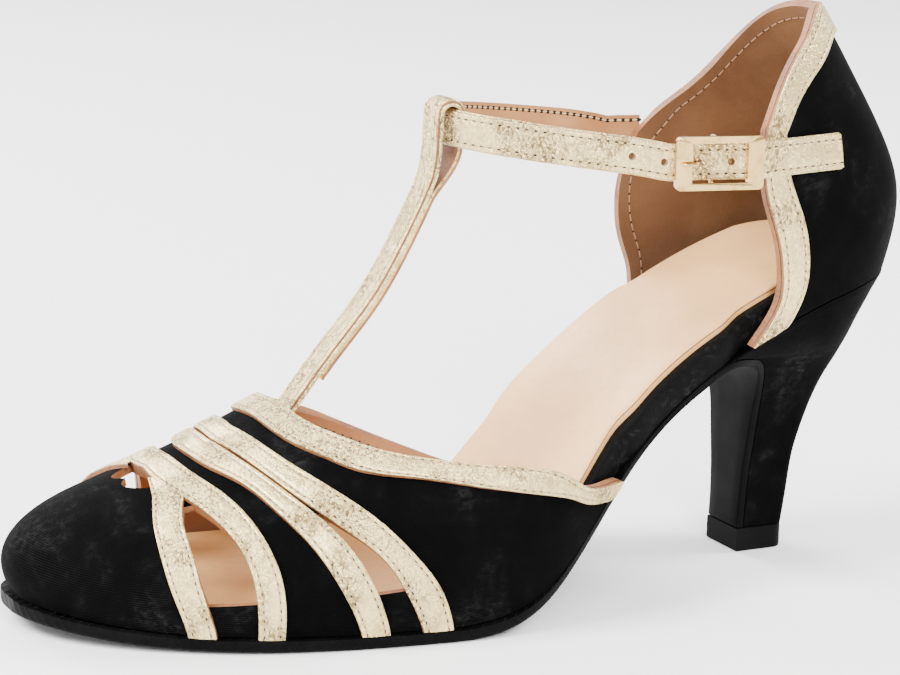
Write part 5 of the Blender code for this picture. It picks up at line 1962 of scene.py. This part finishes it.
    def ankle_side(self, hold: Array) -> Array:
        """Path of one side from its end on the counter to the loop.

        Args:
            hold: End of the path on the counter.

        Returns:
            Stations.
        """
        last = self.last
        apex = np.array([0.0, last.length * self.loop_reach - (self.t_thick + self.strap_thick) / 2 - self.loop_room,
                         last.over_seat(self.loop_rise)])
        table = tuple((i / 6.0, *row) for i, row in enumerate(self.ankle_plan))
        s = np.linspace(0.0, 1.0, 18)
        ahead, beside, rise = (Curve(table, k)(s) for k in (1, 2, 3))
        return np.stack([hold[0] * beside, hold[1] + (apex[1] - hold[1]) * ahead,
                         hold[2] + (apex[2] - hold[2]) * rise], 1)

    def ankle_strap(self) -> None:
        """Strap through the loop, punched, its tip over the outer side of the counter."""
        last = self.last
        reach = self.straight * last.length
        straight = [self.hold + self.forward * t for t in np.linspace(-reach, reach, 5)]
        outer = list(self.ankle_side(straight[-1]))
        start = self.buckle_reach - self.straight
        tail, tail_ups, inner_tail, inner_ups = [], [], [], []
        for s in np.linspace(0.0, 1.0, 8)[1:]:
            level = last.over_seat(self.buckle_rise + (self.tip_rise - self.buckle_rise) * s)
            place = start + (self.tip_reach - start) * s
            tail.append(self.strap_spot(place, level, 1.0))
            tail_ups.append(self.strap_lean(place, level, 1.0))
        level = last.over_seat(self.inner_rise)
        inner = list(self.ankle_side(self.strap_spot(self.inner_start, level, -1.0)))
        for s in np.linspace(0.0, 1.0, 4)[1:]:
            place = self.inner_start + (self.inner_reach - self.inner_start) * s
            inner_tail.append(self.strap_spot(place, level, -1.0))
            inner_ups.append(self.strap_lean(place, level, -1.0))
        path = tail[::-1] + straight + outer[1:] + inner[::-1][1:] + inner_tail
        plain = len(path) - len(tail) - len(inner_tail)
        ups = tail_ups[::-1] + [self.up] * plain + inner_ups
        points, ups = self.resampled(np.array(path), np.array(ups), 0.0008)
        face, back, face_item, back_item = self.two_layers("ankle_strap", points, ups, self.ankle_width,
                                                           self.strap_thick, self.wear.rose)
        middle = int(np.argmin(np.linalg.norm(points - self.hold, axis=1)))
        way = gone(points)
        for number in range(-1, 3):
            distance = way[middle] + self.prong_at + number * self.hole_pitch
            spot = np.array([np.interp(distance, way, points[:, k]) for k in range(3)])
            radius = self.hole_radius * (1.15 if number == 0 else 1.0)
            for item in (face_item, back_item):
                cut(item, self.punch(spot, radius))
        for item in (face_item, back_item):
            rounded(item)
        seated(face_item, Slot.GOLD, "ankle_strap")
        seated(back_item, Slot.TAN)
        seams = [face.seam(True), face.seam(False), back.seam(True, under=True), back.seam(False, under=True),
                 face.cross_seam(2)]
        self.stitches("ankle_strap", seams)

    def punch(self, spot: Array, radius: float) -> Item:
        """Round cutter through the strap.

        Args:
            spot: Middle of the hole.
            radius: Radius of the hole.

        Returns:
            The cutter.
        """
        deselected()
        bpy.ops.mesh.primitive_cylinder_add(vertices=28, radius=radius, depth=0.006)
        item = bpy.context.active_object
        out = Vector(self.last.world(self.out) - self.last.world(np.zeros(3)))
        turn = Vector((0.0, 0.0, 1.0)).rotation_difference(out.normalized()).to_matrix().to_4x4()
        item.data.transform(Matrix.Translation(Vector(self.last.world(spot))) @ turn)
        return dressed(item, [self.wear.raw])

    def buckle_map(self, item: Item) -> None:
        """Move a mesh drawn flat, x along, y up and z out, to the buckle's place."""
        for vert in item.data.vertices:
            t, z, n = vert.co
            vert.co = Vector(self.last.world(self.local(t, n, z)))
        item.data.update()

    def buckle_frame(self) -> None:
        """Cast frame with softened corners, two legs and the hidden bar."""
        deselected()
        bpy.ops.mesh.primitive_plane_add(size=1.0)
        item = bpy.context.active_object
        item.name = "buckle_frame_metal"
        item.data.transform(Matrix.Diagonal((self.frame_length, self.frame_height, 1.0, 1.0)))
        edited(True)
        picked(True)
        bpy.ops.mesh.bevel(offset=self.frame_corner, segments=6, affect="VERTICES")
        picked(True)
        rim = (self.frame_height - self.window_height) / 2
        bpy.ops.mesh.inset(thickness=rim)
        edited(False)
        half_y = self.window_height / 2
        shift = self.window_length / 2 - (self.frame_length / 2 - rim)
        inner = max(item.data.polygons, key=lambda f: len(f.vertices))
        for number in inner.vertices:
            vert = item.data.vertices[number]
            vert.co.x = float(np.sign(vert.co.x)) * (abs(vert.co.x) + shift)
            vert.co.y = float(np.clip(vert.co.y, -half_y, half_y))
        edited(True)
        bpy.ops.mesh.select_mode(type="FACE")
        picked(False)
        edited(False)
        max(item.data.polygons, key=lambda f: len(f.vertices)).select = True
        edited(True)
        bpy.ops.mesh.delete(type="FACE")
        edited(False)
        applied(item, "SOLIDIFY", thickness=self.frame_thick, offset=0.0)
        applied(item, "BEVEL", width=self.frame_round, segments=5, limit_method="ANGLE", angle_limit=0.9,
                profile=0.6)
        item.data.transform(Matrix.Translation((0.0, 0.0, self.plate)))
        self.buckle_map(item)
        dressed(item, [self.wear.metal])
        mended(item)
        rounded(item, 35.0)
        seated(item, Slot.METAL, "buckle_frame")
        self.middle_bar()

    def middle_bar(self) -> None:
        """Legs and bar behind the strap."""
        side = (self.window_height + self.frame_height) / 4
        corners = [np.array([0.0, -side, self.plate]), np.array([0.0, -side, self.bar_out]),
                   np.array([0.0, side, self.bar_out]), np.array([0.0, side, self.plate])]
        points = []
        for first, second in zip(corners, corners[1:]):
            points += [first + (second - first) * s for s in np.linspace(0.0, 1.0, 8)[:-1]]
        points.append(corners[-1])
        points = np.array([self.local(p[0], p[2], p[1]) for p in points])
        item = self.wire("buckle_bar_metal", points, np.full(len(points), self.bar_radius * 0.98), self.forward)
        seated(item, Slot.METAL)

    def wire(self, name: str, points: Array, radii: Array, side: Array) -> Item:
        """Round wire through points.

        Args:
            name: Name of the object.
            points: Stations in shoe coordinates.
            radii: Radius at each.
            side: Direction that is square to the wire's plane.

        Returns:
            The object.
        """
        ahead = unit(np.gradient(points, axis=0))
        other = unit(np.cross(ahead, side))
        angles = 2 * np.pi * np.arange(18) / 18
        rings = (points[:, None] + radii[:, None, None] * (side[None, None] * np.cos(angles)[None, :, None]
                                                             + other[:, None] * np.sin(angles)[None, :, None]))
        return lofted(name, rings, [0], self.last, [self.wear.metal])

    def buckle_prong(self) -> None:
        """Prong hooked round the bar, through a hole and over the frame."""
        ring = self.bar_radius + self.last.gap + self.prong_radius
        places = [(ring * np.cos(a), self.bar_out + ring * np.sin(a))
                  for a in np.linspace(np.radians(-30), np.radians(-270), 13)]
        flat = self.bar_out + ring
        over = self.plate + self.frame_thick / 2 + self.last.gap + self.prong_radius
        at = self.prong_at
        places += [(0.0022, flat), (0.0040, flat + 0.0001), (0.0050, flat + 0.0007), (at, 0.0),
                   (at + 0.0001, over - 0.0012), (at + 0.0007, over - 0.0002), (at + 0.0016, over), (0.0096, over)]
        points = np.array([self.local(t, n, 0.0) for t, n in places])
        ups = np.tile(self.up, (len(points), 1))
        points, _ = self.resampled(points, ups, 0.00025)
        radii = np.full(len(points), self.prong_radius)
        radii[-5:] = self.prong_radius * np.array([1.0, 0.97, 0.88, 0.68, 0.30])
        seated(self.wire("buckle_prong_metal", points, radii, self.up), Slot.METAL, "buckle_prong")

    def buckle_tab(self) -> None:
        """Short strap from the counter's edge round the bar, slotted for the prong."""
        last = self.last
        inner = self.bar_radius + last.gap + self.tab_thick / 2
        edge_u = 0.0
        for share in np.linspace(-0.6, 0.6, 5):
            h = last.over_seat(self.buckle_rise) + share * self.tab_width - float(
                last.bottom(last.length * last.curves["front_outer"](0.8)))
            edge_u = max(edge_u, float(last.counter(last.front_reach(np.array(1.0), np.array(h)), 1.0, h)[1]))
        start = edge_u + 3 * last.gap - last.length * self.buckle_reach
        places = [(t, self.bar_out + inner) for t in np.linspace(start, -0.001, 6)]
        places += [(inner * np.cos(a), self.bar_out + inner * np.sin(a))
                   for a in np.linspace(np.pi / 2, -np.pi / 2, 13)]
        places += [(-0.0015, self.bar_out - inner), (-0.005, self.bar_out - inner * 0.75)]
        points = np.array([self.local(t, n, 0.0) for t, n in places])
        points, ups = self.resampled(points, np.tile(self.up, (len(points), 1)), 0.0005)
        strip = self.along_path(points, ups, self.tab_width, -self.tab_thick / 2, self.tab_thick)
        strip.crown, strip.groove, strip.corner = 0.00005, 0.0, 0.0002
        item = strip.solid("buckle_tab_leather", last, [self.wear.gold, self.wear.rose, self.wear.raw])
        deselected()
        bpy.ops.mesh.primitive_cube_add(size=1.0)
        slot = bpy.context.active_object
        size = (self.slot_length, 2 * (self.prong_radius + last.gap), self.slot_depth, 1.0)
        slot.data.transform(Matrix.Translation((self.slot_at, 0.0, self.bar_out)) @ Matrix.Diagonal(size))
        self.buckle_map(slot)
        dressed(slot, [self.wear.raw])
        mended(slot)
        cut(item, slot)
        rounded(item)
        seated(item, Slot.GOLD, "buckle_tab")


@dataclass
class Studio:
    """Floor, soft lights and the photograph's camera."""
    azimuth: float = 62.98
    distance: float = 0.6903
    height: float = 0.2151
    focal: float = 2981.8
    aim: tuple[float, float, float] = (0.0, 0.1162, 0.0595)
    middle: float = 0.106
    roll: float = 1.16
    panels: tuple[float, float] = (0.5, 2.9)

    def build(self, last: Last) -> None:
        """Set up everything round the shoe.

        Args:
            last: Form of the shoe.
        """
        self.floor()
        self.world()
        self.light("key", (-0.10, -1.30, 1.25), (0.0, -0.09, 0.05), 0.7, 60.0)
        self.light("side", (1.30, -0.35, 0.85), (0.0, -0.05, 0.06), 0.5, 26.0)
        self.light("back", (0.2, 1.2, 1.1), (0.0, -0.02, 0.06), 0.6, 26.0)
        self.light("far", (-1.2, -0.3, 0.9), (0.0, -0.05, 0.06), 0.6, 20.0)
        self.camera(last)

    def floor(self) -> None:
        """Plain pale floor."""
        deselected()
        bpy.ops.mesh.primitive_plane_add(size=12.0)
        floor = bpy.context.active_object
        floor.name = "floor"
        g = Graph("floor_white")
        dressed(floor, [g.done(Base_Color=(0.97, 0.97, 0.97), Roughness=0.9)])

    def world(self) -> None:
        """White surroundings with broad soft panels, for the metal to mirror."""
        g = Graph("studio", True)
        place = g.node("ShaderNodeTexCoord", {}).outputs["Generated"]
        panels = g.span(g.noise(place, 2.6, 1.0, 0.5), 0.44, 0.56, *self.panels)
        bpy.context.scene.world = g.done(Color=(1.0, 1.0, 1.0), Strength=panels)

    def light(self, name: str, place: tuple, target: tuple, size: float, power: float) -> None:
        """Soft square light.

        Args:
            name: Name of the light.
            place: Where it stands.
            target: Where it points.
            size: Side of the square.
            power: Watts.
        """
        data = bpy.data.lights.new(name, "AREA")
        data.size = size
        data.energy = power
        lamp = bpy.data.objects.new(name, data)
        lamp.location = place
        aim = Vector(target) - Vector(place)
        lamp.rotation_euler = aim.to_track_quat("-Z", "Y").to_euler()
        bpy.context.scene.collection.objects.link(lamp)

    def camera(self, last: Last) -> None:
        """Camera at the photograph's angle.

        Args:
            last: Form of the shoe.
        """
        az = np.radians(self.azimuth)
        spot = np.array([self.distance * np.sin(az), self.middle + self.distance * np.cos(az), self.height])
        spot, aim = last.world(spot), last.world(np.array(self.aim))
        ahead = unit(aim - spot)
        right = unit(np.cross(ahead, (0.0, 0.0, 1.0)))
        up = np.cross(right, ahead)
        roll = np.radians(self.roll)
        turned_right = right * np.cos(roll) + up * np.sin(roll)
        turned_up = up * np.cos(roll) - right * np.sin(roll)
        data = bpy.data.cameras.new("camera")
        data.sensor_width = 36.0
        data.lens = self.focal * 36.0 / 900.0
        data.clip_start = 0.01
        data.clip_end = 50.0
        camera = bpy.data.objects.new("camera", data)
        turn = Matrix((turned_right, turned_up, -ahead)).transposed().to_4x4()
        camera.matrix_world = Matrix.Translation(Vector(spot)) @ turn
        bpy.context.scene.collection.objects.link(camera)
        bpy.context.scene.camera = camera


def main() -> None:
    """Build every sub-assembly, then the studio."""
    logging.basicConfig(level=logging.INFO, format="%(message)s")
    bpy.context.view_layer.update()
    last = Last()
    wear = Wardrobe()
    for part in (Bottom(last, wear), FrontUpper(last, wear), BackUpper(last, wear), Straps(last, wear)):
        part.build()
        LOG.info("%s built", type(part).__name__)
    Studio().build(last)


if __name__ == "__main__":
    main()
